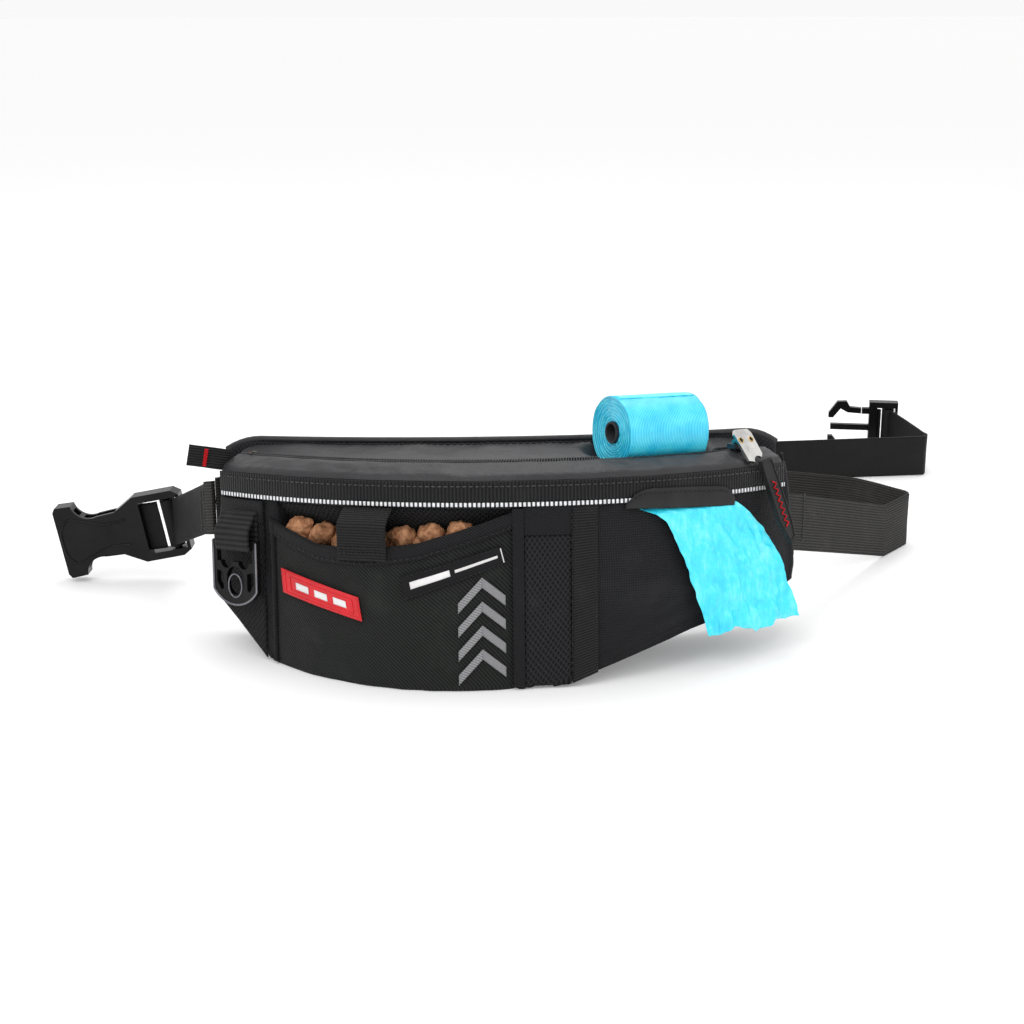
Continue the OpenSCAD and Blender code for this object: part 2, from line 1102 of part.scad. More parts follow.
// One springing prong with its hooked tip
module prong(s) {
    plug_frame()
        rotate([90, 0, 0])
            translate([0, 0, -2.5])
                linear_extrude(height = 5)
                    polygon([
                        [22.6, s * 12.2], [22.6, s * 16.8], [32, s * 17.5], [35, s * 22.5],
                        [43, s * 22], [50, s * 12], [50, s * 8], [46, s * 8],
                        [40, s * 16], [34, s * 12.8]
                    ]);
}

// Prong on the upper side
module upper_prong() {
    color("black")
        prong(1);
}

// Prong on the lower side
module lower_prong() {
    color("black")
        prong(-1);
}

back_panel();
front_shell();
base_panel();
left_gusset();
right_gusset();
rear_lip();
front_zip_tape();
front_zip_coil();
rear_zip_coil();
zip_stops();
zip_slider();
puller_plate();
pull_tab();
zip_end_tab();
ribbed_band();
reflective_piping();
pocket_liner();
treat_pocket();
pocket_binding();
closure_tab();
kibble();
side_panel();
side_band();
side_piping();
ring_loop();
accessory_ring();
mesh_pocket();
mesh_pocket_band();
ribbed_tape();
gusset_strip();
dispenser_patch();
bag_roll();
roll_core();
bag_tail();
feed_roll();
feed_core();
rubber_label();
woven_label();
reflective_print();
left_elastic();
left_webbing();
female_buckle();
right_elastic();
right_webbing();
male_buckle();
upper_prong();
lower_prong();
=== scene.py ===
"""Looks of the treat pouch: cloth, trims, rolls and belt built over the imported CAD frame."""
import math
import random

import bpy
from mathutils import Matrix, Vector, noise

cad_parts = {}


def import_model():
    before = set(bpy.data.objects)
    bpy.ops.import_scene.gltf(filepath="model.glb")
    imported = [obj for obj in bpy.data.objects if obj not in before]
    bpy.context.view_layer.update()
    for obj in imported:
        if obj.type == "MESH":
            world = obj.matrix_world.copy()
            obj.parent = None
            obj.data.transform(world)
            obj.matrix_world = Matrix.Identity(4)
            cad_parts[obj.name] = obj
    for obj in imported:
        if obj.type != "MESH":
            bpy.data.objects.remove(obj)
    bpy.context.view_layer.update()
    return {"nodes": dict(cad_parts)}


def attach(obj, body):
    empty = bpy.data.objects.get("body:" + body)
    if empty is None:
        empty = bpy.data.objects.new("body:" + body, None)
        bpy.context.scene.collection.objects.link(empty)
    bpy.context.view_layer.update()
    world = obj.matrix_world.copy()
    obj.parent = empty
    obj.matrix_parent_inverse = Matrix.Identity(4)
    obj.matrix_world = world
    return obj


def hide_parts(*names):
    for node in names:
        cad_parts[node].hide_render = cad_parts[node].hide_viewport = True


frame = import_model()

# Leaned frame in millimetres: x along the bag, v back, w up its slope. Angles are in degrees.
# C is an arc's centre, R its radius, W a height and A an angle round the front's centre.
MM = 0.001
LEAN = math.radians(9)
FRONT_C, FRONT_R = 196, 230
BACK_C, BACK_R, BACK_W = 428, 392, 132.8
ZIP_R, ZIP_W, SLIDER_A = 215, 125, 39
POCKET_C, POCKET_R = (-30.6, 113.7), 150
LINER_R = 206
TAB_A, TAB_WIDE = -22.6, 30
LEFT_A, RIGHT_A = -50.4, 46
BAND_W0, BAND_W1 = 104, 116
TAPE_LEFT = 26.6
ROLL_AT, ROLL_TURN, ROLL_R, ROLL_L = (82, 22.8, 138.5), 24.5, 22, 57
RING_AT, RING_A = (-168.5, 27.1, 74), -38
FEED_AT, FEED_TURN, FEED_R = (84, 14, 48), 24, 17
# outlines as (x, height) or, for the two ends, (height, x)
LOW = [(-184, 64), (-180, 37), (-168, 25), (-153, 8), (-136, -14), (0, -14), (44, 3),
       (107, 24), (175, 41), (178, 54)]
LEFT_X = [(-14, -136), (8, -153), (25, -168), (37, -180), (64, -184), (104, -178), (135, -176)]
RIGHT_X = [(-14, 0), (3, 44), (24, 107), (41, 175), (54, 178), (112, 169.5), (126, 167), (135, 158)]
MOUTH = [(-153, 93), (-136, 84.5), (-118, 77.5), (-92, 76), (-60, 80.5), (-24, 91.5),
         (-4, 98), (8, 100)]


# ---------------------------------------------------------------- shape helpers
def interp(table, x):
    """Value at x on the straight lines between a table's (x, value) pairs."""
    if x <= table[0][0]:
        return table[0][1]
    for (x0, y0), (x1, y1) in zip(table, table[1:]):
        if x <= x1:
            return y0 + (y1 - y0) * (x - x0) / (x1 - x0)
    return table[-1][1]


def world(p):
    """Leaned millimetres (x along, v back, w up) to metres in the row frame."""
    x, v, w = p
    return Vector((x, v * math.cos(LEAN) + w * math.sin(LEAN),
                   w * math.cos(LEAN) - v * math.sin(LEAN))) * MM


def floored(p, rise=0.5):
    """The point moved up the leaned wall until it clears the floor."""
    x, v, w = p
    return (x, v, max(w, v * math.tan(LEAN) + rise))


def front_v(x, r=FRONT_R):
    """Depth of the front arc at x."""
    return FRONT_C - math.sqrt(max(r * r - x * x, 1))


def back_v(x, r=BACK_R):
    """Depth of the back arc at x."""
    return BACK_C - math.sqrt(r * r - x * x)


def back_drop(x):
    """How far the top of the back drops towards its ends, in millimetres."""
    return 7 * max(0, (abs(x + 4) - 150) / 22) ** 2


def low_at(x):
    """Height of the bag's lower edge at x."""
    return interp(LOW, x)


def on_arc(a, r, w):
    """Point at angle a, in degrees, on an arc round the front's centre."""
    t = math.radians(a)
    return (r * math.sin(t), FRONT_C - r * math.cos(t), w)


def on_pocket(x, w, off=0.0):
    """Point on the treat pocket's front, off millimetres outside it."""
    r = POCKET_R + off
    dx = x - POCKET_C[0]
    return (x, POCKET_C[1] - math.sqrt(r * r - dx * dx), w)


def fold(a, b, size, seed=0.0):
    """Smooth noise in -1..1 for cloth that isn't quite flat."""
    return noise.noise(Vector((a / size + seed, b / size, seed * 1.7)))


def mesh_object(name, verts, faces, uvs=None):
    me = bpy.data.meshes.new(name)
    me.from_pydata([tuple(v) for v in verts], [], faces)
    if uvs:
        layer = me.uv_layers.new(name="UVMap")
        for loop in me.loops:
            layer.data[loop.index].uv = uvs[loop.vertex_index]
    me.polygons.foreach_set("use_smooth", [True] * len(me.polygons))
    me.validate()
    ob = bpy.data.objects.new(name, me)
    bpy.context.scene.collection.objects.link(ob)
    return ob


def steps(a, b, n):
    """n + 1 even values from a to b."""
    return [a + (b - a) * i / n for i in range(n + 1)]


def grid(name, rows, keep=None, wrap=False):
    """A mesh through rows of world points, with its UV in metres."""
    nu = len(rows[0])
    mid = rows[len(rows) // 2]
    us = [0.0]
    for p, q in zip(mid, mid[1:]):
        us.append(us[-1] + (q - p).length)
    col = [r[nu // 2] for r in rows]
    vs = [0.0]
    for p, q in zip(col, col[1:]):
        vs.append(vs[-1] + (q - p).length)
    verts = [p for r in rows for p in r]
    uvs = [(us[i], vs[j]) for j in range(len(rows)) for i in range(nu)]
    faces = []
    for j in range(len(rows) - 1):
        for i in range(nu - 1):
            if keep is None or keep(i, j):
                faces.append((j * nu + i, j * nu + i + 1, (j + 1) * nu + i + 1, (j + 1) * nu + i))
        if wrap:
            faces.append((j * nu + nu - 1, j * nu, (j + 1) * nu, (j + 1) * nu + nu - 1))
    return mesh_object(name, verts, faces, uvs)


def solidify(ob, thick, offset=0.0, smooth=0):
    """Gives a surface its thickness, and smooth levels of subdivision."""
    m = ob.modifiers.new("thick", "SOLIDIFY")
    m.thickness = thick * MM
    m.offset = offset
    if smooth:
        s = ob.modifiers.new("soft", "SUBSURF")
        s.levels = smooth
        s.render_levels = smooth
    return ob


def place(ob, body, mat, nodes=(), slot=None):
    """Gives a piece its material, its body and the CAD nodes that it stands for."""
    ob.data.materials.clear()
    ob.data.materials.append(mat)
    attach(ob, body)
    if nodes:
        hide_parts(*nodes)
    return ob


def sheet(name, rows, thick, body, mat, nodes=(), slot=None, offset=0.0, smooth=0):
    """Cloth of one thickness through rows of world points."""
    ob = solidify(grid(name, rows), thick, offset, smooth)
    return place(ob, body, mat, nodes, slot)


def join(parts, name):
    """One object made of several."""
    bpy.ops.object.select_all(action="DESELECT")
    for ob in parts:
        ob.select_set(True)
    bpy.context.view_layer.objects.active = parts[0]
    bpy.ops.object.join()
    parts[0].name = name
    return parts[0]


def at_share(path, t):
    """The two numbers at share t of a path of pairs, each leg counted alike."""
    k = t * (len(path) - 1)
    i = min(int(k), len(path) - 2)
    f = k - i
    return [a * (1 - f) + b * f for a, b in zip(path[i], path[i + 1])]


def patch(name, fn, us, vs, thick, body, mat, nodes=(), slot=None, offset=0.0, smooth=0):
    """Cloth patch: fn(u, v) gives leaned millimetres."""
    rows = [[world(fn(u, v)) for u in us] for v in vs]
    return sheet(name, rows, thick, body, mat, nodes, slot, offset, smooth)


def frames_along(pts):
    """Point and unit tangent at each point of a polyline."""
    out = []
    for i, p in enumerate(pts):
        q = pts[min(i + 1, len(pts) - 1)] - pts[max(i - 1, 0)]
        out.append((p, q.normalized()))
    return out


def resample(pts, pitch):
    """Points along a polyline every pitch metres."""
    out, carry = [pts[0].copy()], 0.0
    for p, q in zip(pts, pts[1:]):
        span = (q - p).length
        at = pitch - carry
        while at <= span:
            out.append(p.lerp(q, at / span))
            at += pitch
        carry = span - (at - pitch)
    return out


def dash_boxes(name, pts, up, pitch, size, body, mat, slot=None):
    """Small rounded bars along a line, such as stitches, teeth or ladder marks. size is
    length along the line, width across it and height above the cloth, in millimetres."""
    length, width, height = (s * MM for s in size)
    verts, faces = [], []
    ring = [(-0.5, -0.3), (-0.3, -0.5), (0.3, -0.5), (0.5, -0.3), (0.5, 0.3), (0.3, 0.5),
            (-0.3, 0.5), (-0.5, 0.3)]
    fine = resample(pts, pitch * MM)
    for p, t in frames_along(fine):
        n = up(p) if callable(up) else up
        side = t.cross(n).normalized()
        n = side.cross(t).normalized()
        base = len(verts)
        for lift, shrink in ((0.0, 1.0), (0.65, 0.92), (1.0, 0.6)):
            for a, b in ring:
                verts.append(p + t * (a * length * shrink) + side * (b * width * shrink)
                             + n * (height * lift))
        for lv in range(2):
            for i in range(8):
                a0 = base + lv * 8
                faces.append((a0 + i, a0 + (i + 1) % 8, a0 + 8 + (i + 1) % 8, a0 + 8 + i))
        faces.append(tuple(base + 16 + i for i in range(8)))
        faces.append(tuple(base + 7 - i for i in range(8)))
    ob = mesh_object(name, verts, faces)
    return place(ob, body, mat, slot=slot)


def tube(name, pts, radius, body, mat, nodes=(), slot=None, sides=12):
    """Round cord through world points."""
    rows = []
    for p, t in frames_along(pts):
        a = t.orthogonal().normalized() if not rows else (a - t * a.dot(t)).normalized()
        b = t.cross(a)
        rows.append([p + (a * math.cos(2 * math.pi * i / sides)
                          + b * math.sin(2 * math.pi * i / sides)) * (radius * MM)
                     for i in range(sides)])
    ob = grid(name, rows, wrap=True)
    return place(ob, body, mat, nodes, slot)


def smooth_path(ctrl, n=10):
    """Catmull-Rom curve through control tuples, as tuples."""
    out = []
    for i in range(len(ctrl) - 1):
        p0 = ctrl[max(i - 1, 0)]
        p1, p2 = ctrl[i], ctrl[i + 1]
        p3 = ctrl[min(i + 2, len(ctrl) - 1)]
        for k in range(n):
            t = k / n
            out.append(tuple(0.5 * (2 * b + (c - a) * t + (2 * a - 5 * b + 4 * c - d) * t * t
                                    + (3 * b - a - 3 * c + d) * t ** 3)
                             for a, b, c, d in zip(p0, p1, p2, p3)))
    out.append(tuple(ctrl[-1]))
    return out


# ---------------------------------------------------------------- materials
class Shader:
    """Thin helper round a node tree with one Principled surface."""

    def __init__(self, name):
        self.mat = bpy.data.materials.new(name)
        self.mat.use_nodes = True
        self.nt = self.mat.node_tree
        self.bsdf = self.nt.nodes["Principled BSDF"]

    def node(self, kind, **values):
        n = self.nt.nodes.new(kind)
        for key, val in values.items():
            setattr(n, key, val)
        return n

    def link(self, a, b):
        self.nt.links.new(a, b)

    def put(self, **values):
        for key, val in values.items():
            self.bsdf.inputs[key.replace("_", " ")].default_value = val

    def math(self, op, *values):
        n = self.node("ShaderNodeMath", operation=op)
        for i, x in enumerate(values):
            if isinstance(x, (int, float)):
                n.inputs[i].default_value = x
            else:
                self.link(x, n.inputs[i])
        return n.outputs[0]

    def blend(self, a, share_a, b, share_b):
        """a and b, each times its share, added up."""
        return self.math("ADD", self.math("MULTIPLY", a, share_a), self.math("MULTIPLY", b, share_b))

    def coords(self, uv):
        out = self.node("ShaderNodeTexCoord").outputs["UV" if uv else "Object"]
        sep = self.node("ShaderNodeSeparateXYZ")
        self.link(out, sep.inputs[0])
        return out, sep.outputs

    def noise(self, vec, scale, detail=3.0, rough=0.5):
        n = self.node("ShaderNodeTexNoise")
        n.inputs["Scale"].default_value = scale
        n.inputs["Detail"].default_value = detail
        n.inputs["Roughness"].default_value = rough
        self.link(vec, n.inputs["Vector"])
        return n.outputs["Fac"]

    def wave(self, x, pitch):
        """0..1 ridge that repeats every pitch metres along x."""
        s = self.math("SINE", self.math("MULTIPLY", x, 2 * math.pi / pitch))
        return self.math("ADD", self.math("MULTIPLY", s, 0.5), 0.5)

    def ramp(self, fac, stops):
        r = self.node("ShaderNodeValToRGB")
        el = r.color_ramp.elements
        while len(el) < len(stops):
            el.new(0.5)
        for e, (pos, col) in zip(el, stops):
            e.position = pos
            e.color = (*col, 1)
        self.link(fac, r.inputs["Fac"])
        return r.outputs["Color"]

    def mix(self, fac, a, b):
        m = self.node("ShaderNodeMix", data_type="RGBA")
        self.link(fac, m.inputs["Factor"])
        for key, x in (("A", a), ("B", b)):
            if isinstance(x, tuple):
                m.inputs[key].default_value = (*x, 1)
            else:
                self.link(x, m.inputs[key])
        return [o for o in m.outputs if o.type == "RGBA"][0]

    def bump(self, height, strength, distance, under=None):
        b = self.node("ShaderNodeBump")
        b.inputs["Strength"].default_value = strength
        b.inputs["Distance"].default_value = distance
        self.link(height, b.inputs["Height"])
        if under:
            self.link(under, b.inputs["Normal"])
        return b.outputs["Normal"]


def cloth(name, dark, light, pattern, pitch, depth=0.4, rough=0.85, sheen=0.05, crease=0.25,
          uv=True, spec=0.18):
    """Woven cloth: the weave and the wear drive colour, roughness and bump, and the weave's
    colour is painted shade in its grooves and painted highlight on its ridges. pattern is
    rib_u, rib_v, twill, plain or mesh, and pitch its repeat in metres."""
    s = Shader(name)
    vec, (u, v, _) = s.coords(uv)
    if pattern == "rib_u":
        h = s.wave(u, pitch)
    elif pattern == "rib_v":
        h = s.wave(v, pitch)
    elif pattern == "twill":
        h = s.wave(s.math("ADD", u, v), pitch)
    elif pattern == "plain":
        h = s.blend(s.wave(u, pitch), 0.5, s.wave(v, pitch), 0.5)
    else:
        slant = s.math("MULTIPLY", v, 0.7)
        one_way = s.wave(s.math("ADD", u, slant), pitch)
        other_way = s.wave(s.math("SUBTRACT", u, slant), pitch)
        h = s.math("POWER", s.math("MAXIMUM", one_way, other_way), 3.0)
    fibre = s.noise(vec, 900, 2)
    wear = s.noise(vec, 28, 5, 0.6)
    # painted shade and highlight: the weave height h that drives the bump also makes the grooves darker
    # and the ridges lighter; the fibre noise is the cloth's own tone
    tone = s.blend(h, 0.62, fibre, 0.38)
    col = s.ramp(tone, [(0.12, dark), (0.85, light)])
    worn = tuple(min(1, c * 1.8 + 0.002) for c in light)
    wear_mask = s.ramp(wear, [(0.52, (0, 0, 0)), (0.8, (0.45, 0.45, 0.45))])
    s.link(s.mix(wear_mask, col, worn), s.bsdf.inputs["Base Color"])
    creases = s.bump(s.noise(vec, 55, 3), crease, 0.0025)
    weave = s.bump(s.math("ADD", h, s.math("MULTIPLY", fibre, 0.5)), depth, 0.0006, creases)
    s.link(weave, s.bsdf.inputs["Normal"])
    worn_rough = s.math("ADD", s.math("MULTIPLY", wear, 0.18), rough - 0.09)
    s.link(worn_rough, s.bsdf.inputs["Roughness"])
    s.put(Sheen_Weight=sheen, Sheen_Roughness=0.45, Specular_IOR_Level=spec)
    return s.mat


def solid(name, dark, light, rough, metal=0.0, grain=60, bump=0.05, spec=0.5, scratch=0.15):
    """Moulded or metal surface with faint grain, patches and scuffs."""
    s = Shader(name)
    vec, _ = s.coords(False)
    patchy = s.noise(vec, grain, 5, 0.6)
    fine = s.noise(vec, 1400, 2)
    s.link(s.ramp(patchy, [(0.3, dark), (0.72, light)]), s.bsdf.inputs["Base Color"])
    scuffed = s.math("ADD", s.math("MULTIPLY", patchy, scratch), rough - scratch / 2)
    s.link(scuffed, s.bsdf.inputs["Roughness"])
    s.link(s.bump(s.math("ADD", patchy, s.math("MULTIPLY", fine, 0.4)), bump, 0.0006),
           s.bsdf.inputs["Normal"])
    s.put(Metallic=metal, Specular_IOR_Level=spec)
    return s.mat


FILM_TURN = 0.0011      # metres between two turns of film, seen at a roll's end
LADDER_PITCH = 0.0026   # metres between two white blocks


def film_material():
    """Thin blue bag film: glossy and creased, with painted shade deeper in its folds and painted
    highlights on its creases.
    """
    s = Shader("blue_film_painted_shade")
    vec, _ = s.coords(False)
    big = s.noise(vec, 45, 4, 0.6)
    stretch = s.node("ShaderNodeMapping")
    stretch.inputs["Scale"].default_value = (1.0, 1.0, 0.25)
    s.link(vec, stretch.inputs["Vector"])
    crease = s.noise(stretch.outputs[0], 260, 4, 0.7)
    # painted shade and highlight: the colour follows the fold and crease noise that also bumps the film,
    # deep blue in the hollows and near white on the ridges
    tone = s.blend(big, 0.55, crease, 0.45)
    s.link(s.ramp(tone, [(0.30, (0.01, 0.56, 0.86)), (0.5, (0.05, 0.78, 0.98)),
                         (0.72, (0.26, 0.93, 1.0))]), s.bsdf.inputs["Base Color"])
    s.link(s.bump(crease, 0.35, 0.0012, s.bump(big, 0.3, 0.004)), s.bsdf.inputs["Normal"])
    s.put(Roughness=0.26, Specular_IOR_Level=0.6, Coat_Weight=0.25, Coat_Roughness=0.15,
          Subsurface_Weight=0.12, Subsurface_Radius=(0.004, 0.008, 0.01))
    return s.mat


def roll_material():
    """Wound film seen at its ends as rings and on its side as faint bands, with painted shade in the
    grooves between turns and painted highlight on the turns.
    """
    s = Shader("blue_roll_painted_shade")
    vec, (_, v, _) = s.coords(True)
    rings = s.wave(v, FILM_TURN)
    wobble = s.noise(vec, 90, 4)
    # painted shade and highlight: the rings and wobble that bump the film also darken its grooves and
    # lighten its ridges
    tone = s.blend(rings, 0.45, wobble, 0.55)
    s.link(s.ramp(tone, [(0.22, (0.0, 0.42, 0.78)), (0.5, (0.02, 0.68, 0.93)),
                         (0.78, (0.16, 0.84, 1.0))]), s.bsdf.inputs["Base Color"])
    s.link(s.bump(s.math("ADD", rings, wobble), 0.35, 0.0008), s.bsdf.inputs["Normal"])
    s.put(Roughness=0.3, Specular_IOR_Level=0.55, Coat_Weight=0.2, Coat_Roughness=0.2)
    return s.mat


def ladder_material():
    """White reflective blocks with dark gaps, along a tape's length."""
    s = Shader("ladder_tape")
    vec, (u, _, _) = s.coords(True)
    block = s.wave(u, LADDER_PITCH)
    step = s.math("GREATER_THAN", block, 0.42)
    grain = s.noise(vec, 500, 2)
    white = s.ramp(grain, [(0.3, (0.55, 0.56, 0.58)), (0.7, (0.92, 0.93, 0.95))])
    s.link(s.mix(step, (0.015, 0.015, 0.016), white), s.bsdf.inputs["Base Color"])
    s.link(s.bump(block, 0.5, 0.0006), s.bsdf.inputs["Normal"])
    s.put(Roughness=0.45, Specular_IOR_Level=0.5)
    return s.mat


M = {
    "coated": cloth("coated_cloth", (0.007, 0.007, 0.008), (0.022, 0.022, 0.025), "plain", 0.0010,
                    0.18, 0.42, 0.03, 0.6, spec=0.4),
    "body": cloth("body_cloth", (0.0025, 0.0025, 0.003), (0.018, 0.018, 0.020), "plain", 0.0015,
                  0.6, 0.8, 0.04, 0.5),
    "pocket": cloth("pocket_weave", (0.0025, 0.0028, 0.0026), (0.020, 0.022, 0.020), "twill",
                    0.0023, 0.7, 0.8, 0.04, 0.4),
    "pad": cloth("pad_cloth", (0.004, 0.004, 0.005), (0.020, 0.020, 0.023), "mesh", 0.003, 0.7, 0.9,
                 0.06, 0.3),
    "open_mesh": cloth("open_mesh", (0.0015, 0.0015, 0.0015), (0.024, 0.024, 0.027), "mesh", 0.0030,
                       0.9, 0.85, 0.04, 0.2),
    "fine_mesh": cloth("fine_mesh", (0.002, 0.002, 0.002), (0.015, 0.015, 0.017), "mesh", 0.0024,
                       0.8, 0.85, 0.04, 0.3),
    "twill": cloth("twill_tape", (0.002, 0.002, 0.0025), (0.014, 0.014, 0.016), "twill", 0.0018,
                   0.7, 0.7, 0.04, 0.15),
    "rib": cloth("ribbed_tape", (0.0015, 0.0015, 0.0015), (0.020, 0.020, 0.021), "rib_u", 0.0021,
                 1.0, 0.65, 0.05, 0.12),
    "rib_side": cloth("ribbed_side_tape", (0.002, 0.002, 0.002), (0.020, 0.020, 0.020), "rib_v",
                      0.0016, 0.9, 0.7, 0.05, 0.12),
    "elastic": cloth("ribbed_elastic", (0.006, 0.0055, 0.005), (0.040, 0.038, 0.036), "rib_v",
                     0.0019, 0.9, 0.8, 0.06, 0.15),
    "webbing": cloth("webbing", (0.002, 0.0018, 0.0018), (0.010, 0.009, 0.009), "twill", 0.0013,
                     0.5, 0.6, 0.02, 0.12, spec=0.2),
    "loop": cloth("loop_webbing", (0.0015, 0.0015, 0.0015), (0.022, 0.022, 0.023), "rib_v", 0.0032,
                  1.0, 0.65, 0.05, 0.1),
    "label": cloth("label_weave", (0.0008, 0.0008, 0.001), (0.006, 0.006, 0.008), "twill", 0.0011,
                   0.4, 0.5, 0.03, 0.1),
    "thread": cloth("dark_thread", (0.004, 0.004, 0.004), (0.030, 0.030, 0.032), "twill", 0.0008,
                    0.6, 0.6, 0.05, 0.1, uv=False),
    "grey_thread": cloth("grey_thread", (0.02, 0.02, 0.02), (0.09, 0.09, 0.09), "twill", 0.0008,
                         0.6, 0.7, 0.05, 0.1, uv=False),
    "red_thread": cloth("red_thread", (0.45, 0.0, 0.005), (0.80, 0.01, 0.02), "twill", 0.0008, 0.6,
                        0.65, 0.05, 0.1, uv=False),
    "print": cloth("grey_print", (0.12, 0.12, 0.125), (0.30, 0.30, 0.31), "twill", 0.0016, 0.4, 0.6,
                   0.03, 0.1, spec=0.5),
    "coil": solid("zip_teeth", (0.008, 0.008, 0.008), (0.028, 0.028, 0.03), 0.35, spec=0.5),
    "plastic": solid("black_plastic", (0.003, 0.003, 0.003), (0.009, 0.0085, 0.0085), 0.24,
                     bump=0.05, spec=0.16),
    "rubber": solid("black_rubber", (0.006, 0.006, 0.006), (0.018, 0.017, 0.017), 0.5, bump=0.12,
                    spec=0.3),
    "chrome": solid("chrome", (0.50, 0.49, 0.48), (0.90, 0.89, 0.86), 0.12, 1.0, bump=0.16,
                    scratch=0.22),
    "brass": solid("brass", (0.45, 0.30, 0.10), (0.75, 0.55, 0.25), 0.25, 1.0, bump=0.05),
    "steel": solid("gun_metal", (0.10, 0.10, 0.11), (0.22, 0.22, 0.24), 0.25, 0.9, bump=0.05),
    "red": solid("red_rubber", (0.50, 0.003, 0.008), (0.74, 0.010, 0.020), 0.4, bump=0.1),
    "white_rubber": solid("white_rubber", (0.62, 0.60, 0.60), (0.85, 0.84, 0.84), 0.5, bump=0.1),
    "kibble": solid("kibble", (0.19, 0.070, 0.030), (0.62, 0.32, 0.17), 0.85, grain=240, bump=1.0,
                    spec=0.15),
    "card": solid("card_core", (0.012, 0.012, 0.014), (0.05, 0.05, 0.055), 0.8, bump=0.3),
    "film": film_material(),
    "roll": roll_material(),
    "ladder": ladder_material(),
}


# ---------------------------------------------------------------- the bag's walls
def wall_row(w):
    """Points of the outer wall at height w: left end, curved front, right end."""
    xl, xr = interp(LEFT_X, w), interp(RIGHT_X, w)
    xl, xr = max(xl, -183.2), min(xr, 177.4)
    vl, vr = front_v(xl + 5), front_v(xr - 5)
    left = smooth_path([(xl + 4, back_v(xl + 4)), (xl + 0.3, (back_v(xl) + vl) / 2),
                        (xl + 0.6, vl + 4), (xl + 5, vl)], 5)
    right = smooth_path([(xr - 5, vr), (xr - 0.6, vr + 4), (xr - 0.3, (back_v(xr) + vr) / 2),
                         (xr - 4, back_v(xr - 4))], 5)
    xa, xb = xl + 5, xr - 5
    edge_l = -FRONT_R * math.sin(math.radians(38.6))
    edge_r = -FRONT_R * math.sin(math.radians(1.3))
    if xb < edge_r + 4:
        edge_r = xb - 2
    if xa > edge_l - 4:
        edge_l = xa + 2
    mid = steps(xa, edge_l, 9)[1:] + steps(edge_l, edge_r, 26)[1:] + steps(edge_r, xb, 44)[1:-1]
    return left + [(x, front_v(x)) for x in mid] + right, len(left) + 8, len(left) + 34


def build_wall():
    """Ends and curved front in one cloth, left open behind the treat pocket."""
    ws = steps(-6, 100, 40) + steps(100, BAND_W1, 6)[1:]
    rows, hole = [], (0, 0)
    for w in ws:
        plan, a, b = wall_row(w)
        row = []
        for i, (x, v) in enumerate(plan):
            calm = min(1, (118 - w) / 14, (w + 8) / 20)  # no folds next to the seams
            push = calm * (1.1 * fold(x, w, 36, 3.1) + 0.7 * fold(x, w * 2.2, 17, 8.4))
            d = Vector((x, v - FRONT_C))
            d.normalize()
            row.append(world(floored((x + d[0] * push, v + d[1] * push, w), 1.7)))
        rows.append(row)
        hole = (a, b)
    ob = grid("outer_wall", rows, keep=lambda i, j: not (hole[0] <= i < hole[1] and ws[j + 1] <= 100.5))
    solidify(ob, 1.6, -1)
    place(ob, "pouch", M["body"], ("front_shell", "left_gusset", "right_gusset"), "body_fabric")


def build_base():
    """Cloth under the bag."""
    def fn(x, t):
        va, vb = front_v(x) + 1.8, back_v(x) - 1
        v = va + (vb - va) * t
        w = low_at(x) + 1.2 + 0.5 * fold(x, v, 25, 2)
        return (x, v, max(w, v * math.tan(LEAN) + 1.1))
    patch("bottom_cloth", fn, steps(-179, 174, 90), steps(0, 1, 14), 1.4, "pouch", M["body"],
          ("base_panel",), "body_fabric", offset=1)


def build_back():
    """Padded back with its piping and quilting lines."""
    def fn(x, t):
        lo, hi = low_at(x) + 1.5, BACK_W - back_drop(x)
        w = lo + (hi - lo) * t
        press = 0.0
        along = (x - ROLL_AT[0]) / 26
        if abs(along) < 1.25 and w > 112:
            press = 2.2 * (1 - (along / 1.25) ** 2) * min(1, (w - 112) / 10)
        return floored((x, back_v(x, BACK_R + 1) + press + 0.6 * fold(x, w, 40, 5), w), 4.6)
    us, vs = steps(-175, 168, 70), steps(0, 1, 26)
    pad = patch("back_pad", fn, us, vs, 4.6, "pouch", M["pad"], ("back_panel",), "back_padding",
                offset=1, smooth=1)
    hem = [world((x, back_v(x, BACK_R + 3.2), BACK_W + 0.6 - back_drop(x)))
           for x in steps(-176, 169, 80)]
    tube("back_hem", hem, 2.0, "pouch", M["coated"], slot="coated_fabric")
    for k, drop in enumerate((29.8, 61.8, 93.8)):
        line = []
        for x in steps(-150, 130, 90):
            w = max(BACK_W - drop, low_at(x) + 6)
            line.append(world(floored((x, back_v(x, BACK_R - 4.9), w), 6)))
        dash_boxes("back_quilting_%d" % k, line, Vector((0, 1, 0)), 4.2, (2.6, 0.7, 0.5), "pouch",
                   M["thread"], "back_padding")
    return pad


# ---------------------------------------------------------------- the open top
def roll_hollow(x, v, w):
    """Height of cloth pressed down by the roll that lies on it."""
    t = math.radians(ROLL_TURN)
    dx, dv = x - ROLL_AT[0], v - ROLL_AT[1]
    along = dx * math.cos(t) + dv * math.sin(t)
    across = -dx * math.sin(t) + dv * math.cos(t)
    r = ROLL_R + 1.6
    over = abs(along) - ROLL_L / 2 - 1.5
    if abs(across) >= r or over > 14:
        return w
    under = ROLL_AT[2] - math.sqrt(r * r - across * across)
    if over <= 0:
        return min(w, under)
    k = over / 14
    k = k * k * (3 - 2 * k)
    return min(w, under + (w - under) * k) if under < w else w


def rear_zip_v(x):
    """Depth of the rear row of teeth, which stands off from the front row."""
    return front_v(x + 3.4, ZIP_R - 1) + 9.4


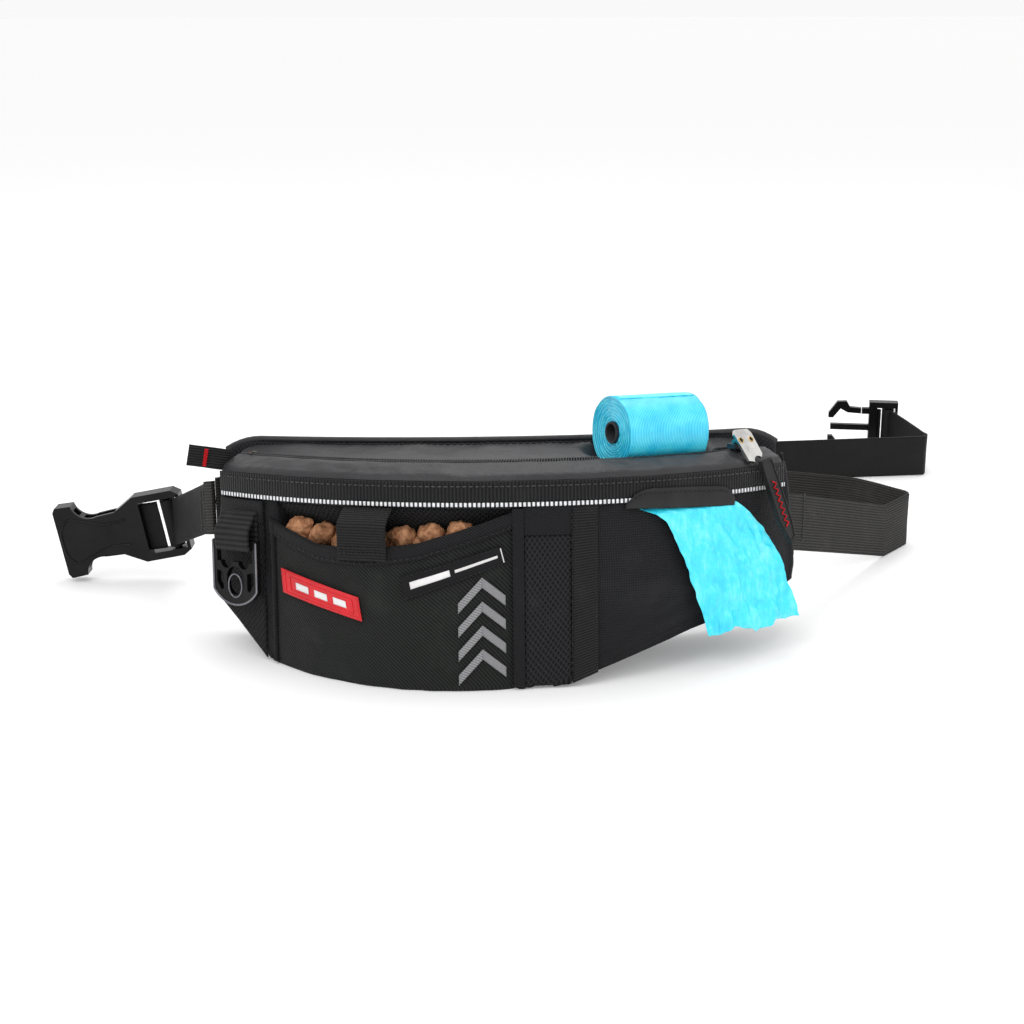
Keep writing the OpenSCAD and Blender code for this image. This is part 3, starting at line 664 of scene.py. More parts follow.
def lip_point(x, t):
    """Coated cloth from the rear teeth, t = 0, up to the back's top edge, t = 1."""
    va, vb = rear_zip_v(x), back_v(x, BACK_R + 1)
    if vb < va + 3:
        va = vb - 3
    v = va + (vb - va) * t
    top = BACK_W - 0.6 - back_drop(x)
    w = ZIP_W - 0.3 + (top - ZIP_W) * (t ** 1.15)
    w += (1.5 * fold(x, v * 1.6, 30, 9) + 0.8 * fold(x, v, 12, 4)) * math.sin(math.pi * t)
    return (x, v, roll_hollow(x, v, w))


def build_top():
    """Coated cloth behind the zip, the front tape, and the two rows of teeth."""
    us = steps(-171, 162, 150)
    patch("rear_top_cloth", lip_point, us, steps(0, 1, 20), 0.9, "pouch", M["coated"],
          ("rear_lip",), "coated_fabric", smooth=0)
    for name, xs in (("top_stitches", steps(-165, 48, 90)),
                     ("top_stitches_right", steps(118, 158, 20))):
        line = [world(lip_point(x, 0.86)) + Vector((0, -0.0002, 0.0006)) for x in xs]
        dash_boxes(name, line, Vector((0, -0.3, 1)), 4.0, (2.5, 0.8, 0.6), "pouch", M["thread"],
                   "coated_fabric")

    profile = [(215.8, 124.6), (217.5, 124.9), (220.5, 123.6), (224.5, 121.4), (228.3, 119.0),
               (230.3, 115.2)]

    def tape(a, t):
        r, w = at_share(profile, t)
        bulge = math.sin(math.pi * t) * (0.9 * fold(a * 4, r, 22, 6) + 0.6 * fold(a * 4, r * 3, 9, 2))
        return on_arc(a, r, w + bulge)
    patch("front_tape", tape, steps(LEFT_A, RIGHT_A, 130), steps(0, 1, 14), 0.8, "pouch",
          M["coated"], ("front_zip_tape",), "coated_fabric")
    front = [world(on_arc(a, ZIP_R, ZIP_W - 0.6)) for a in steps(LEFT_A, 43, 140)]
    rear = []
    for x in steps(-160, 146, 160):
        v = rear_zip_v(x)
        if v < back_v(x, BACK_R) - 3:
            rear.append(world((x, v, roll_hollow(x, v, ZIP_W) - 0.4)))
    for side, line in (("front", front), ("rear", rear)):
        dash_boxes(side + "_teeth", line, Vector((0, 0.15, 1)), 1.6, (0.95, 2.4, 1.5), "pouch",
                   M["coil"], "zip_coil")
        tube(side + "_cord", line, 0.7, "pouch", M["coil"], (side + "_zip_coil",), "zip_coil", 8)


def arc_patch(name, a0, a1, low, high, off, thick, mat, nodes, slot, nu, nv, waves):
    """Cloth strip sewn on the curved front between two angles; low may be a function of x."""
    def fn(a, t):
        x = FRONT_R * math.sin(math.radians(a))
        lo = low(x) if callable(low) else low
        w = lo + (high - lo) * t
        edge = math.sin(math.pi * t)
        p = on_arc(a, FRONT_R + off + waves * fold(x, w, 14, 1) * edge, w)
        return floored(p, 1.4)
    return patch(name, fn, steps(a0, a1, nu), steps(0, 1, nv), thick, "pouch", mat, nodes, slot,
                 offset=1)


STRIPS = [  # name, from, to, low, high, off, thick, cloth, CAD node, slot, nu, nv, waves
    ("ladder_trim", LEFT_A + 0.3, RIGHT_A, 101.4, 103.8, 1.5, 0.9, "ladder", "reflective_piping",
     "reflective", 200, 3, 0.0),
    ("side_weave", LEFT_A - 1.2, -40.9, low_at, 86.8, 0.4, 1.0, "fine_mesh", "side_panel",
     "mesh_fabric", 18, 30, 0.7),
    ("side_weave_band", LEFT_A, -40.9, 86.6, 100, 0.9, 1.3, "twill", "side_band", "twill_tape",
     18, 6, 0.3),
    ("diamond_mesh", 0, 6.9, low_at, 84.8, 0.3, 1.0, "open_mesh", "mesh_pocket", "mesh_fabric",
     14, 34, 0.8),
    ("diamond_mesh_band", 0, 6.9, 84.6, 101, 0.8, 1.2, "twill", "mesh_pocket_band", "twill_tape",
     14, 6, 0.3),
    ("upright_tape", 7, 10.8, low_at, 101, 0.6, 1.2, "rib_side", "ribbed_tape", "ribbed_tape",
     10, 34, 0.4),
    ("seam_strip", -1.5, 0.1, low_at, 100, 1.0, 1.4, "twill", "gusset_strip", "twill_tape",
     5, 34, 0.3),
]


def build_trim():
    """The ribbed band under the zip, then every strip sewn on the front."""
    arc_patch("ribbed_trim", LEFT_A, RIGHT_A, BAND_W0, BAND_W1 - 0.2, 0.9, 1.3, M["rib"],
              ("ribbed_band",), "ribbed_tape", 160, 8, 0.5)
    line = [world(on_arc(a, FRONT_R + 2.5, 113.2)) for a in steps(LEFT_A + 0.5, RIGHT_A - 0.5, 160)]
    dash_boxes("trim_stitches", line, lambda p: (p - Vector((0, 0.2, p.z))).normalized(), 3.6,
               (2.4, 0.7, 0.5), "pouch", M["grey_thread"], "ribbed_tape")
    for name, a0, a1, low, high, off, thick, mat, node, slot, nu, nv, waves in STRIPS:
        arc_patch(name, a0, a1, low, high, off, thick, M[mat], (node,), slot, nu, nv, waves)
    cord = [world(floored(on_arc(-40.35, FRONT_R + 1.3, w), 1.4)) for w in steps(2, 94, 40)]
    tube("side_cord", cord, 1.25, "pouch", M["twill"], ("side_piping",), "twill_tape")
    a = math.degrees(math.asin(TAPE_LEFT / FRONT_R)) + 0.35
    line = [world(floored(on_arc(a, FRONT_R + 2.0, w), 2)) for w in steps(2, 100, 60)]
    dash_boxes("tape_stitches", line, Vector((0, -1, 0)), 3.6, (2.3, 0.6, 0.5), "pouch",
               M["thread"], "ribbed_tape")


def build_patch_lip():
    """Rubber lip over the dispenser slot, with its stitches."""
    def fn(s, t):
        x = 60 + 69 * s
        top = interp([(60, 99.4), (62, 102), (66, 106), (71, 108.2), (76, 108.8), (100, 108.2),
                      (118, 107), (123, 106), (126.5, 103.5), (129, 99)], x)
        low = 98.2 - 3.4 * s
        w = low + (top - low) * t
        puff = 0.9 * math.sin(math.pi * t) * math.sin(math.pi * s) ** 0.3
        a = math.degrees(math.asin(x / (FRONT_R + 2)))
        return on_arc(a, FRONT_R + 2.2 + puff, w)
    patch("slot_lip", fn, steps(0, 1, 50), steps(0, 1, 10), 1.2, "pouch", M["rubber"],
          ("dispenser_patch",), "black_rubber", offset=1)
    line = []
    for s in steps(0.05, 0.96, 60):
        p = fn(s, 0.8)
        line.append(world((p[0], p[1] - 1.5, p[2])))
    dash_boxes("slot_lip_stitches", line, Vector((0, -1, 0.2)), 3.4, (2.2, 0.7, 0.5), "pouch",
               M["thread"], "black_rubber")


# ---------------------------------------------------------------- the treat pocket
def mouth_at(x):
    """Height of the treat pocket's edge at x."""
    return interp(MOUTH, x)


def build_pocket():
    """Treat pocket: its front, bound edge, net liner, side seam and closing tab."""
    xs = steps(-147.5, -1.2, 90)

    def front(x, t):
        lo, hi = max(low_at(x), -8), mouth_at(x) - 0.5
        w = lo + (hi - lo) * t
        calm = min(1, (x + 148) / 14, -x / 12)
        push = calm * (1.0 * fold(x, w, 34, 7) + 0.7 * fold(x * 1.5, w, 15, 12))
        return floored(on_pocket(x, w, -0.9 + 0.8 * push))
    patch("pocket_front", front, xs, steps(0, 1, 46), 1.3, "pouch", M["pocket"], ("treat_pocket",),
          "body_fabric", offset=0)

    def binding(x, t):
        top = mouth_at(x)
        off, w = at_share([(0.8, top - 9), (1.3, top - 5), (1.2, top - 1.2), (0.0, top + 0.2),
                        (-1.8, top - 1.4), (-1.9, top - 8)], t)
        return on_pocket(x, w + 0.3 * fold(x, w, 9, 3), off + 0.25 * fold(x, w, 12, 5))
    patch("pocket_edge", binding, steps(-147.8, -0.8, 110), steps(0, 1, 15), 0.7, "pouch",
          M["twill"], ("pocket_binding",), "twill_tape")
    line = [world(on_pocket(x, mouth_at(x) - 7.4, 1.9)) for x in steps(-146, -3, 110)]
    dash_boxes("pocket_edge_stitches", line, Vector((0, -1, 0)), 3.6, (2.3, 0.7, 0.5), "pouch",
               M["thread"], "twill_tape")

    # liner: curved net wall with its two ends, as one piece of net
    rows = []
    for w in steps(3, 99.5, 40):
        row = []
        back_r = LINER_R - 0.6 + max(0, w - 76) / 24 * 22
        plan = [on_arc(-38.5, r, 0)[:2] for r in steps(229, back_r + 1, 5)]
        plan += [on_arc(a, back_r, 0)[:2] for a in steps(-37.9, -2.1, 50)]
        plan += [on_arc(-1.5, r, 0)[:2] for r in steps(back_r + 1, 229, 5)]
        for x, v in plan:
            k = 0.9 * fold(x, w, 20, 6)
            row.append(world(floored((x, v + k, w))))
        rows.append(row)
    sheet("pocket_net", rows, 0.8, "pouch", M["open_mesh"], ("pocket_liner",), "mesh_fabric")
    seam = [world(floored(on_arc(-38.9, FRONT_R + 1.6, w), 1.5)) for w in steps(2, 88, 36)]
    tube("pocket_seam_left", seam, 1.5, "pouch", M["twill"], slot="twill_tape")

    path = smooth_path([(0.6, 99.8), (2.4, 98.8), (7.0, 95.6), (11.4, 91.4), (12.0, 86),
                        (11.9, 78), (11.7, 70.4)], 6)
    c, sn = math.cos(math.radians(TAB_A)), math.sin(math.radians(TAB_A))

    def tab(s, t):
        off, w = at_share(path, t)
        x, v, _ = on_arc(TAB_A, FRONT_R + off - 0.6, w)
        across = (s - 0.5) * TAB_WIDE
        return (x + across * c, v + across * sn, w + 0.25 * fold(s * TAB_WIDE, w, 8, 2))
    patch("closing_tab", tab, steps(0, 1, 24), steps(0, 1, 40), 1.2, "closure", M["rib_side"],
          ("closure_tab",), "twill_tape")
    for k, t in enumerate((0.1, 0.16, 0.84, 0.9)):
        line = [world(tab(s, t)) + Vector((0, -0.0006, 0.0005)) for s in steps(0.06, 0.94, 20)]
        dash_boxes("closing_tab_stitches_%d" % k, line, Vector((0, -1, 0.5)), 2.6, (1.8, 0.7, 0.5),
                   "closure", M["thread"], "twill_tape")


def crumb(name, centre, size, seed):
    """One rough baked crumb."""
    bpy.ops.mesh.primitive_ico_sphere_add(subdivisions=4, radius=size * MM, location=(0, 0, 0))
    ob = bpy.context.object
    ob.name = name
    rnd = random.Random(seed)
    squeeze = Vector((rnd.uniform(0.85, 1.1), rnd.uniform(0.75, 1.0), rnd.uniform(0.7, 0.95)))
    for vert in ob.data.vertices:
        d = vert.co.normalized()
        k = 1 + 0.22 * noise.noise(d * 1.7 + Vector((seed, 0, 0))) + 0.12 * noise.noise(
            d * 5 + Vector((0, seed, 0))) + 0.05 * noise.noise(d * 13 + Vector((0, 0, seed)))
        co = vert.co * k
        vert.co = Vector((co.x * squeeze.x, co.y * squeeze.y, co.z * squeeze.z))
    ob.data.transform(Matrix.Rotation(rnd.uniform(0, 6), 4, "Z") @ Matrix.Rotation(
        rnd.uniform(0, 6), 4, "X"))
    ob.data.transform(Matrix.Translation(world(centre)))
    ob.data.polygons.foreach_set("use_smooth", [True] * len(ob.data.polygons))
    return ob


def build_kibble():
    """Baked crumbs in the pocket's mouth: large ones, each with three small ones by it."""
    parts = []
    big = [(-35.2, 224, 84.5), (-31.4, 221.5, 81), (-28.4, 217, 76), (-17.8, 220.4, 81.5),
           (-13.6, 221.2, 82.5), (-9.2, 224, 85), (-21.8, 217, 76), (-25.1, 224, 82)]
    rnd = random.Random(5)
    for i, (a, r, w) in enumerate(big):
        parts.append(crumb("crumb_%d" % i, on_arc(a, r, w), 8.3, i + 1))
        for j in range(3):
            aa, rr = a + rnd.uniform(-1.9, 1.9), r + rnd.uniform(-2, 3)
            parts.append(crumb("crumb_%d_%d" % (i, j), on_arc(aa, rr, w + rnd.uniform(-6, 5)),
                               rnd.uniform(3.2, 5.0), 20 + 5 * i + j))
    place(join(parts, "treats"), "pouch", M["kibble"], ("kibble",), "kibble")


# ---------------------------------------------------------------- labels and small trims
def pocket_quad(corners, s, t, off):
    """Point on the pocket front inside a four-cornered label (x, w corners)."""
    (ax, aw), (bx, bw), (cx, cw), (dx, dw) = corners
    x = (ax * (1 - s) + bx * s) * (1 - t) + (dx * (1 - s) + cx * s) * t
    w = (aw * (1 - s) + bw * s) * (1 - t) + (dw * (1 - s) + cw * s) * t
    return on_pocket(x, w, off)


def quad_patch(name, corners, off, thick, mat, nodes=(), slot=None, wave=0.0, nu=24, nv=12,
               span=((0, 1), (0, 1))):
    """Patch on the pocket front over the part of a label that span gives."""
    (s0, s1), (t0, t1) = span

    def fn(s, t):
        x, v, w = pocket_quad(corners, s0 + (s1 - s0) * s, t0 + (t1 - t0) * t, off)
        return (x, v + wave * fold(x, w, 11, 4), w)
    return patch(name, fn, steps(0, 1, nu), steps(0, 1, nv), thick, "pouch", mat, nodes, slot,
                 offset=1)


def edge_loop(ms, mt):
    """Shares (s, t) all round a label, ms and mt in from its edges."""
    return ([(s, mt) for s in steps(ms, 1 - ms, 24)]
            + [(1 - ms, t) for t in steps(mt, 1 - mt, 10)][1:]
            + [(s, 1 - mt) for s in steps(1 - ms, ms, 24)][1:]
            + [(ms, t) for t in steps(1 - mt, mt, 10)][1:])


def chevron_arm(side, w):
    """Corners of one arm of a chevron whose feet stand at height w."""
    if side == 0:
        return [(-38, w), (-24, w + 15), (-24, w + 21), (-38, w + 6)]
    return [(-24, w + 15), (-10.5, w + 4), (-10.5, w + 10), (-24, w + 21)]


def build_labels():
    """Red rubber label, woven label and reflective chevrons, all with plain marks only."""
    red = [(-139.5, 47), (-93, 34.5), (-95, 48.5), (-140.5, 61.5)]
    quad_patch("red_label", red, 1.0, 0.9, M["red"], ("rubber_label",), "red_rubber")
    for k, m in enumerate((0.035, 0.10)):
        pts = [world(pocket_quad(red, s, t, 2.0)) for s, t in edge_loop(m, m * 2.2)]
        tube("red_border_%d" % k, pts, 0.42, "pouch", M["red"], slot="red_rubber", sides=8)
    for k, (s0, s1) in enumerate(((0.18, 0.34), (0.42, 0.58), (0.66, 0.82))):
        quad_patch("plain_bar_%d" % k, red, 1.9, 0.5, M["white_rubber"], slot="red_rubber",
                   nu=8, nv=3, span=((s0, s1), (0.36, 0.64)))
    woven = [(-68, 48), (-9.5, 69.2), (-12, 79), (-70.5, 62)]
    quad_patch("folded_label", woven, 0.9, 0.6, M["label"], ("woven_label",), "label_weave", 0.5)
    edge = [world(pocket_quad(woven, 0.975, t, 1.8)) for t in steps(0.08, 0.92, 8)]
    tube("label_edge", edge, 0.35, "pouch", M["white_rubber"], slot="label_weave", sides=6)
    for k, t in enumerate((0.07, 0.93)):
        line = [world(pocket_quad(woven, s, t, 1.7)) for s in steps(0.02, 0.98, 30)]
        dash_boxes("label_stitches_%d" % k, line, Vector((0, -1, 0)), 2.8, (1.9, 0.5, 0.4), "pouch",
                   M["thread"], "label_weave")
    for k, (s0, s1, t0, t1) in enumerate(((0.07, 0.46, 0.36, 0.66), (0.51, 0.93, 0.44, 0.58))):
        quad_patch("label_bar_%d" % k, woven, 1.5, 0.3, M["white_rubber"], slot="label_weave",
                   nu=20, nv=3, span=((s0, s1), (t0, t1)), wave=0.5)
    parts = []
    for k, w in enumerate((-2, 12, 26, 40)):
        for side in (0, 1):
            arm = chevron_arm(side, w)
            rows = [[world(floored(pocket_quad(arm, s, t, 0.75), 0.8)) for s in steps(0, 1, 10)]
                    for t in steps(0, 1, 4)]
            parts.append(grid("chevron_%d_%d" % (k, side), rows))
    chevrons = solidify(join(parts, "chevrons"), 0.25, 1)
    place(chevrons, "pouch", M["print"], ("reflective_print",), "reflective")


def build_ends():
    """Tabs at the two ends of the zip, and the wing at each end that the belt leaves."""
    turn = math.radians(12)

    def strip(s, t):
        dx, dw = -26 * (1 - s), 13 * t
        x, z = rot_y(dx, dw, 10)
        return (-174.5 + x * math.cos(turn), 59 + x * math.sin(turn) + 0.6 * fold(dx, dw, 9, 2),
                114.5 + z)
    patch("zip_end", strip, steps(0, 1, 20), steps(0, 1, 12), 1.8, "pouch", M["rib_side"],
          ("zip_end_tab",), "black_rubber")
    bar = []
    for t in steps(0.1, 0.9, 30):
        p = strip(0.42, t)
        bar.append(world((p[0], p[1] - 1.1, p[2])))
    dash_boxes("zip_end_bartack", bar, Vector((-0.2, -1, 0)), 1.0, (0.8, 2.6, 0.7), "pouch",
               M["red_thread"], "black_rubber")

    for name, x_in, x_out, low in (("belt_wing_left", -177, -184, 59),
                                   ("belt_wing_right", 171.5, 178.5, 46)):
        inner, outer = Vector((x_in, 92, 0)), Vector((x_out, 88.5, 0))
        rows = [[(inner.lerp(outer, k) + Vector((0, 0, z + 0.4 * fold(z, k, 8)))) * MM
                 for k in steps(0, 1, 6)] for z in steps(low, low + 37, 16)]
        sheet(name, rows, 2.2, "pouch", M["elastic"], slot="body_fabric")

    def end_tab(s, t):
        x, v, w = on_arc(RIGHT_A + 0.6 + 1.4 * s, FRONT_R - 1.5 - 3 * s, 101 + 20 * t)
        return (x, v + 0.4 * fold(s * 5, w, 8), w)
    patch("zip_end_right", end_tab, steps(0, 1, 6), steps(0, 1, 14), 1.6, "pouch", M["twill"],
          slot="twill_tape")


def ring_point(x, y, z):
    """World point from the accessory ring's own frame: x across it, y behind, z up."""
    c, s = math.cos(math.radians(RING_A)), math.sin(math.radians(RING_A))
    return world((RING_AT[0] + x * c - y * s, RING_AT[1] + x * s + y * c, RING_AT[2] + z))


def build_loop():
    """Ribbed webbing loop that carries the accessory ring."""
    prof = smooth_path([(4.0, 19.3), (4.0, 8), (3.9, 0), (2.7, -2.9), (0, -3.95), (-2.9, -2.7),
                        (-3.9, 0.4), (-3.9, 7.8), (-0.9, 12.6), (2.6, 18.4)], 7)
    rows = [[ring_point(x, y + 0.15 * fold(x, z, 6), z) for x in steps(-13.3, 13.3, 20)]
            for y, z in prof]
    sheet("ring_strap", rows, 1.3, "pouch", M["loop"], ("ring_loop",), "ribbed_tape")


# ---------------------------------------------------------------- film and rolls
def roll_frame(at, turn):
    """Function from a roll's own millimetres (x along it) to world points."""
    t = math.radians(turn)
    ax = Vector((math.cos(t), math.sin(t), 0))
    side = Vector((-math.sin(t), math.cos(t), 0))

    def to(x, y, z):
        p = Vector(at) + ax * x + side * y + Vector((0, 0, z))
        return world(tuple(p))
    return to


def build_roll(name, at, turn, radius, body, nodes):
    """Wound film with uneven ends and soft dents, and a loose outer turn lifted at its edge."""
    to = roll_frame(at, turn)
    half, bore, n = ROLL_L / 2, 6.6, 96
    prof = []
    for k, r in enumerate(steps(bore, radius - 1.0, 26)):
        prof.append((-half + 1.5 + 0.35 * math.sin(k * 2.4) + 0.9 * (1 - k / 26), r))
    prof += [(-half + 0.5, radius - 0.4), (-half + 1.6, radius - 0.1)]
    prof += [(x, radius - 0.2 - 0.25 * abs(math.sin(x * 0.4))) for x in steps(-half + 3, half - 3, 24)]
    prof += [(half - 1.6, radius - 0.1), (half - 0.5, radius - 0.4)]
    for k, r in enumerate(steps(radius - 1.0, bore, 26)):
        prof.append((half - 1.5 - 0.35 * math.sin(k * 2.4) - 0.9 * k / 26, r))
    verts, uvs = [], []
    length = 0.0
    for k, (x, r) in enumerate(prof):
        if k:
            length += math.hypot(x - prof[k - 1][0], r - prof[k - 1][1])
        for i in range(n):
            a = 2 * math.pi * i / n
            wob = 0.35 * noise.noise(Vector((math.cos(a) * 2, math.sin(a) * 2, x / 9)))
            edge = 0.45 * noise.noise(Vector((math.cos(a) * 3, math.sin(a) * 3, r / 2)))
            rr = min(radius - 0.05, r + wob * (r / radius) - 0.1)
            spread = edge if abs(x) > half - 3 else 0
            verts.append(to(max(-half, min(half, x + spread)), rr * math.cos(a), rr * math.sin(a)))
            uvs.append((a * radius * MM, length * MM + a / (2 * math.pi) * FILM_TURN))
    faces = []
    for k in range(len(prof)):
        after = (k + 1) % len(prof)
        for i in range(n):
            j = (i + 1) % n
            faces.append((k * n + i, after * n + i, after * n + j, k * n + j))
    ob = mesh_object(name, verts, faces, uvs)
    place(ob, body, M["roll"], nodes, "bag_film")
    rows = []
    for a in steps(20, 110, 40):
        t = math.radians(a)
        lift = 0.2 + max(0, (40 - a) / 20) ** 2 * 1.2
        r = radius + lift * 0.6 - 0.3
        rows.append([to(x, r * math.cos(t), r * math.sin(t) + 0.25 * fold(x, a, 12))
                     for x in steps(-half + 2, half - 2, 30)])
    sheet(name + "_outer_turn", rows, 0.25, body, M["film"], slot="bag_film")


# the film's two edges: share of its length, place along the wall, height
TAIL_TURN = 27
TAIL_LEFT = [(0, -40.8, 97.6), (0.12, -29.8, 93.4), (0.21, -23.6, 88.9), (0.40, -15.3, 72.4),
             (0.63, -7.9, 52.3), (0.89, 0.1, 29), (1, 3.2, 18.5)]
TAIL_RIGHT = [(0, 23, 98.2), (0.08, 30.4, 96.4), (0.22, 40.6, 89), (0.36, 49.9, 79.2),
              (0.50, 56.1, 67.8), (0.71, 62, 49.6), (1, 70.6, 23.7)]


def tail_point(s, t):
    """Film between its two edges: on the wall at the slot, hanging free below."""
    run, w = [interp([(row[0], row[k]) for row in TAIL_LEFT], t) * (1 - s)
              + interp([(row[0], row[k]) for row in TAIL_RIGHT], t) * s for k in (1, 2)]
    w += (t ** 4) * (4.0 * fold(s * 60, 0, 13, 3) + 2.0 * fold(s * 60, 0, 5, 8)
                     + 5.0 * (4 * s * (1 - s)) * (0.45 - s))
    r = FRONT_R + interp([(0, -1.5), (0.05, 1.2), (0.12, 3.6), (1, 9.8)], t)
    ruck = min(1, t * 4 + 0.1)
    fall = s * 60 + 9 * fold(s * 40, t * 60, 30, 6)
    r += ruck * (0.5 + 0.9 * t) * (2.1 * fold(fall, t * 24, 8, 2) + 1.3 * fold(fall, t * 60, 3.4, 5)
                                   + 1.0 * fold(s * 60, t * 110, 9, 9))
    q = math.radians(TAIL_TURN)
    free = min(1, max(0, (t - 0.1) / 0.5))
    free = free * free * (3 - 2 * free)
    a = q + math.atan(run / r)
    near = Vector((r * math.sin(a), FRONT_C - r * math.cos(a)))
    far = Vector((r * math.sin(q) + run * math.cos(q), FRONT_C - r * math.cos(q) + run * math.sin(q)))
    p = near.lerp(far, free)
    return floored((p.x, p.y, w), 1.2)


def build_tail():
    """Film drawn from the slot: gathered at the top, fanned and creased below."""
    rows = [[world(tail_point(s, t)) for s in steps(0, 1, 120)] for t in steps(0, 1, 130)]
    return sheet("bag_film_tail", rows, 0.12, "pouch", M["film"], ("bag_tail",), "bag_film")


# ---------------------------------------------------------------- belt
def ribbon(name, path, width, thick, body, mat, nodes, slot, z_of):
    """Upright strap through plan points (x, y) in millimetres; z_of(share of its run) is the
    height of its lower edge."""
    pts = [Vector((p[0], p[1])) for p in path]
    run = [0.0]
    for p, q in zip(pts, pts[1:]):
        run.append(run[-1] + (q - p).length)
    rows = []
    for z in steps(0, 1, 14):
        row = []
        for k, p in enumerate(pts):
            low = z_of(run[k] / run[-1])
            bow = 0.25 * fold(run[k], z * width, 12, 4)
            d = (pts[min(k + 1, len(pts) - 1)] - pts[max(k - 1, 0)]).normalized()
            row.append(Vector((p.x - d.y * bow, p.y + d.x * bow, low + z * width)) * MM)
        rows.append(row)
    return sheet(name, rows, thick, body, mat, nodes, slot)


def strap_stitches(name, path, z0, width, body, mat, side, offset):
    """Upright seam across a strap at a plan point; side is the plan normal it sits on."""
    p = Vector((path[0] + side[0] * offset, path[1] + side[1] * offset, 0))
    line = [(p + Vector((0, 0, z0 + z))) * MM for z in steps(1.5, width - 1.5, 20)]
    dash_boxes(name, line, Vector((side[0], side[1], 0)), 2.8, (2.0, 0.8, 0.5), body, mat, "elastic")


WEB_W = 32.6
DROP_END = 173 / 348    # share of its run at which the right elastic reaches the floor


def build_belt():
    """Elastic and webbing of both belt halves, their seams, and the webbing in the buckles."""
    left = smooth_path([(-185.4, 86.6), (-188.6, 91.3), (-191.3, 96.2)], 10)
    ribbon("left_elastic_strap", left, 34.6, 2.6, "left_belt", M["elastic"], ("left_elastic",),
           "elastic", lambda k: 60 - 3 * k)
    run = smooth_path([(-191.2, 95.6), (-200, 119), (-211, 146), (-220.8, 170.6)], 14)
    ribbon("left_webbing_strap", run, WEB_W, 1.7, "left_belt", M["webbing"], ("left_webbing",),
           "webbing", lambda k: 57.9 - 31.2 * k)
    wrap_round("left_webbing_wrap", buckle_to, "left_belt")
    for k, along in enumerate((0.02, 0.12)):
        p = run[int(along * (len(run) - 1)) + 1]
        strap_stitches("left_seam_%d" % k, p, 57 - 30 * along, 32, "left_belt", M["grey_thread"],
                       (-0.93, -0.37), 1.3)

    out = smooth_path([(175.6, 82.4), (218, 131.5), (255, 172.8), (292, 214), (296.2, 220.5),
                       (296.6, 226), (293, 232), (270, 262), (241, 277), (215, 289)], 14)
    ribbon("right_elastic_strap", out, 37.6, 1.8, "right_belt", M["elastic"], ("right_elastic",),
           "elastic", lambda k: max(0.3, 43 * (1 - min(1, k / DROP_END))))
    turn = [(220 + 50 * math.cos(math.radians(a)), 342 + 50 * math.sin(math.radians(a)))
            for a in steps(268, 92, 50)]
    web = turn + smooth_path([(222, 392.2), (290, 396.9), (355, 401.2), (363, 403.5), (366, 409),
                              (364.5, 417), (358.5, 441), (351.9, 464.5)], 12)
    ribbon("right_webbing_strap", web, WEB_W, 1.7, "right_belt", M["webbing"], ("right_webbing",),
           "webbing", lambda k: 0.3 + 6.1 * max(0, (k - 0.86) / 0.14))
    wrap_round("right_webbing_wrap", plug_to, "right_belt")
    seam = out[5]
    strap_stitches("right_seam", (seam[0] + 3, seam[1] + 3.5), 42, 36, "right_belt",
                   M["grey_thread"], (0.76, -0.65), 1.2)
    for name, to, body, near, far in (
            ("socket_window_webbing", buckle_to, "socket_buckle", 6.6, 18.2),
            ("plug_window_webbing", plug_to, "plug_buckle", 5.9, 8.8)):
        rows = [[to(x, 2.6 * max(0, math.cos(math.pi / 2 * (x - near) / (far - near))) ** 0.6
                    + 0.15 * fold(x, z, 5), z) for x in steps(near, far, 18)]
                for z in steps(-16.3, 16.3, 16)]
        sheet(name, rows, 2.2, body, M["webbing"], slot="webbing")


def frame_to(origin, yaw, pitch):
    """Function from a turned frame's millimetres to world points."""
    a = math.radians(yaw)

    def to(x, y, z):
        x1, z1 = rot_y(x, z, pitch)
        return Vector((origin[0] + x1 * math.cos(a) - y * math.sin(a),
                       origin[1] + x1 * math.sin(a) + y * math.cos(a), origin[2] + z1)) * MM
    return to


buckle_to = frame_to((-223, 176, 41.5), 175, 11)
plug_to = frame_to((350.5, 471, 23), 168, 0)


def wrap_round(name, to, body):
    """Webbing folded round a buckle bar."""
    rows = []
    for z in steps(-16.4, 16.4, 16):
        rows.append([to(4.2 * math.cos(a), 4.2 * math.sin(a) + 0.1 * fold(z, a * 5, 6), z)
                     for a in steps(0, 2 * math.pi, 40)])
    sheet(name, rows, 1.8, body, M["webbing"], slot="webbing")


HARDWARE = [  # CAD node, material, bevel width in millimetres
    ("female_buckle", "plastic", 0.9), ("male_buckle", "plastic", 0.8),
    ("upper_prong", "plastic", 0.7), ("lower_prong", "plastic", 0.7),
    ("accessory_ring", "plastic", 0.8), ("zip_slider", "steel", 0.5),
    ("puller_plate", "chrome", 0.35), ("zip_stops", "chrome", 0.3), ("pull_tab", "rubber", 0.6),
    ("roll_core", "card", 0.2), ("feed_core", "card", 0.2),
]


def bevelled(node, mat, width):
    """Shows a CAD node as it is, with softened edges."""
    ob = frame["nodes"][node]
    ob.data.materials.clear()
    ob.data.materials.append(mat)
    b = ob.modifiers.new("edge", "BEVEL")
    b.width = width * MM
    b.segments = 3
    b.limit_method = "ANGLE"
    b.angle_limit = math.radians(35)
    b.harden_normals = False


def circle(to, x, y, z, rx, rz, n):
    """Closed line of world points round a centre given in a piece's own frame."""
    return [to(x + rx * math.cos(t), y, z + rz * math.sin(t)) for t in steps(0, 2 * math.pi, n)]


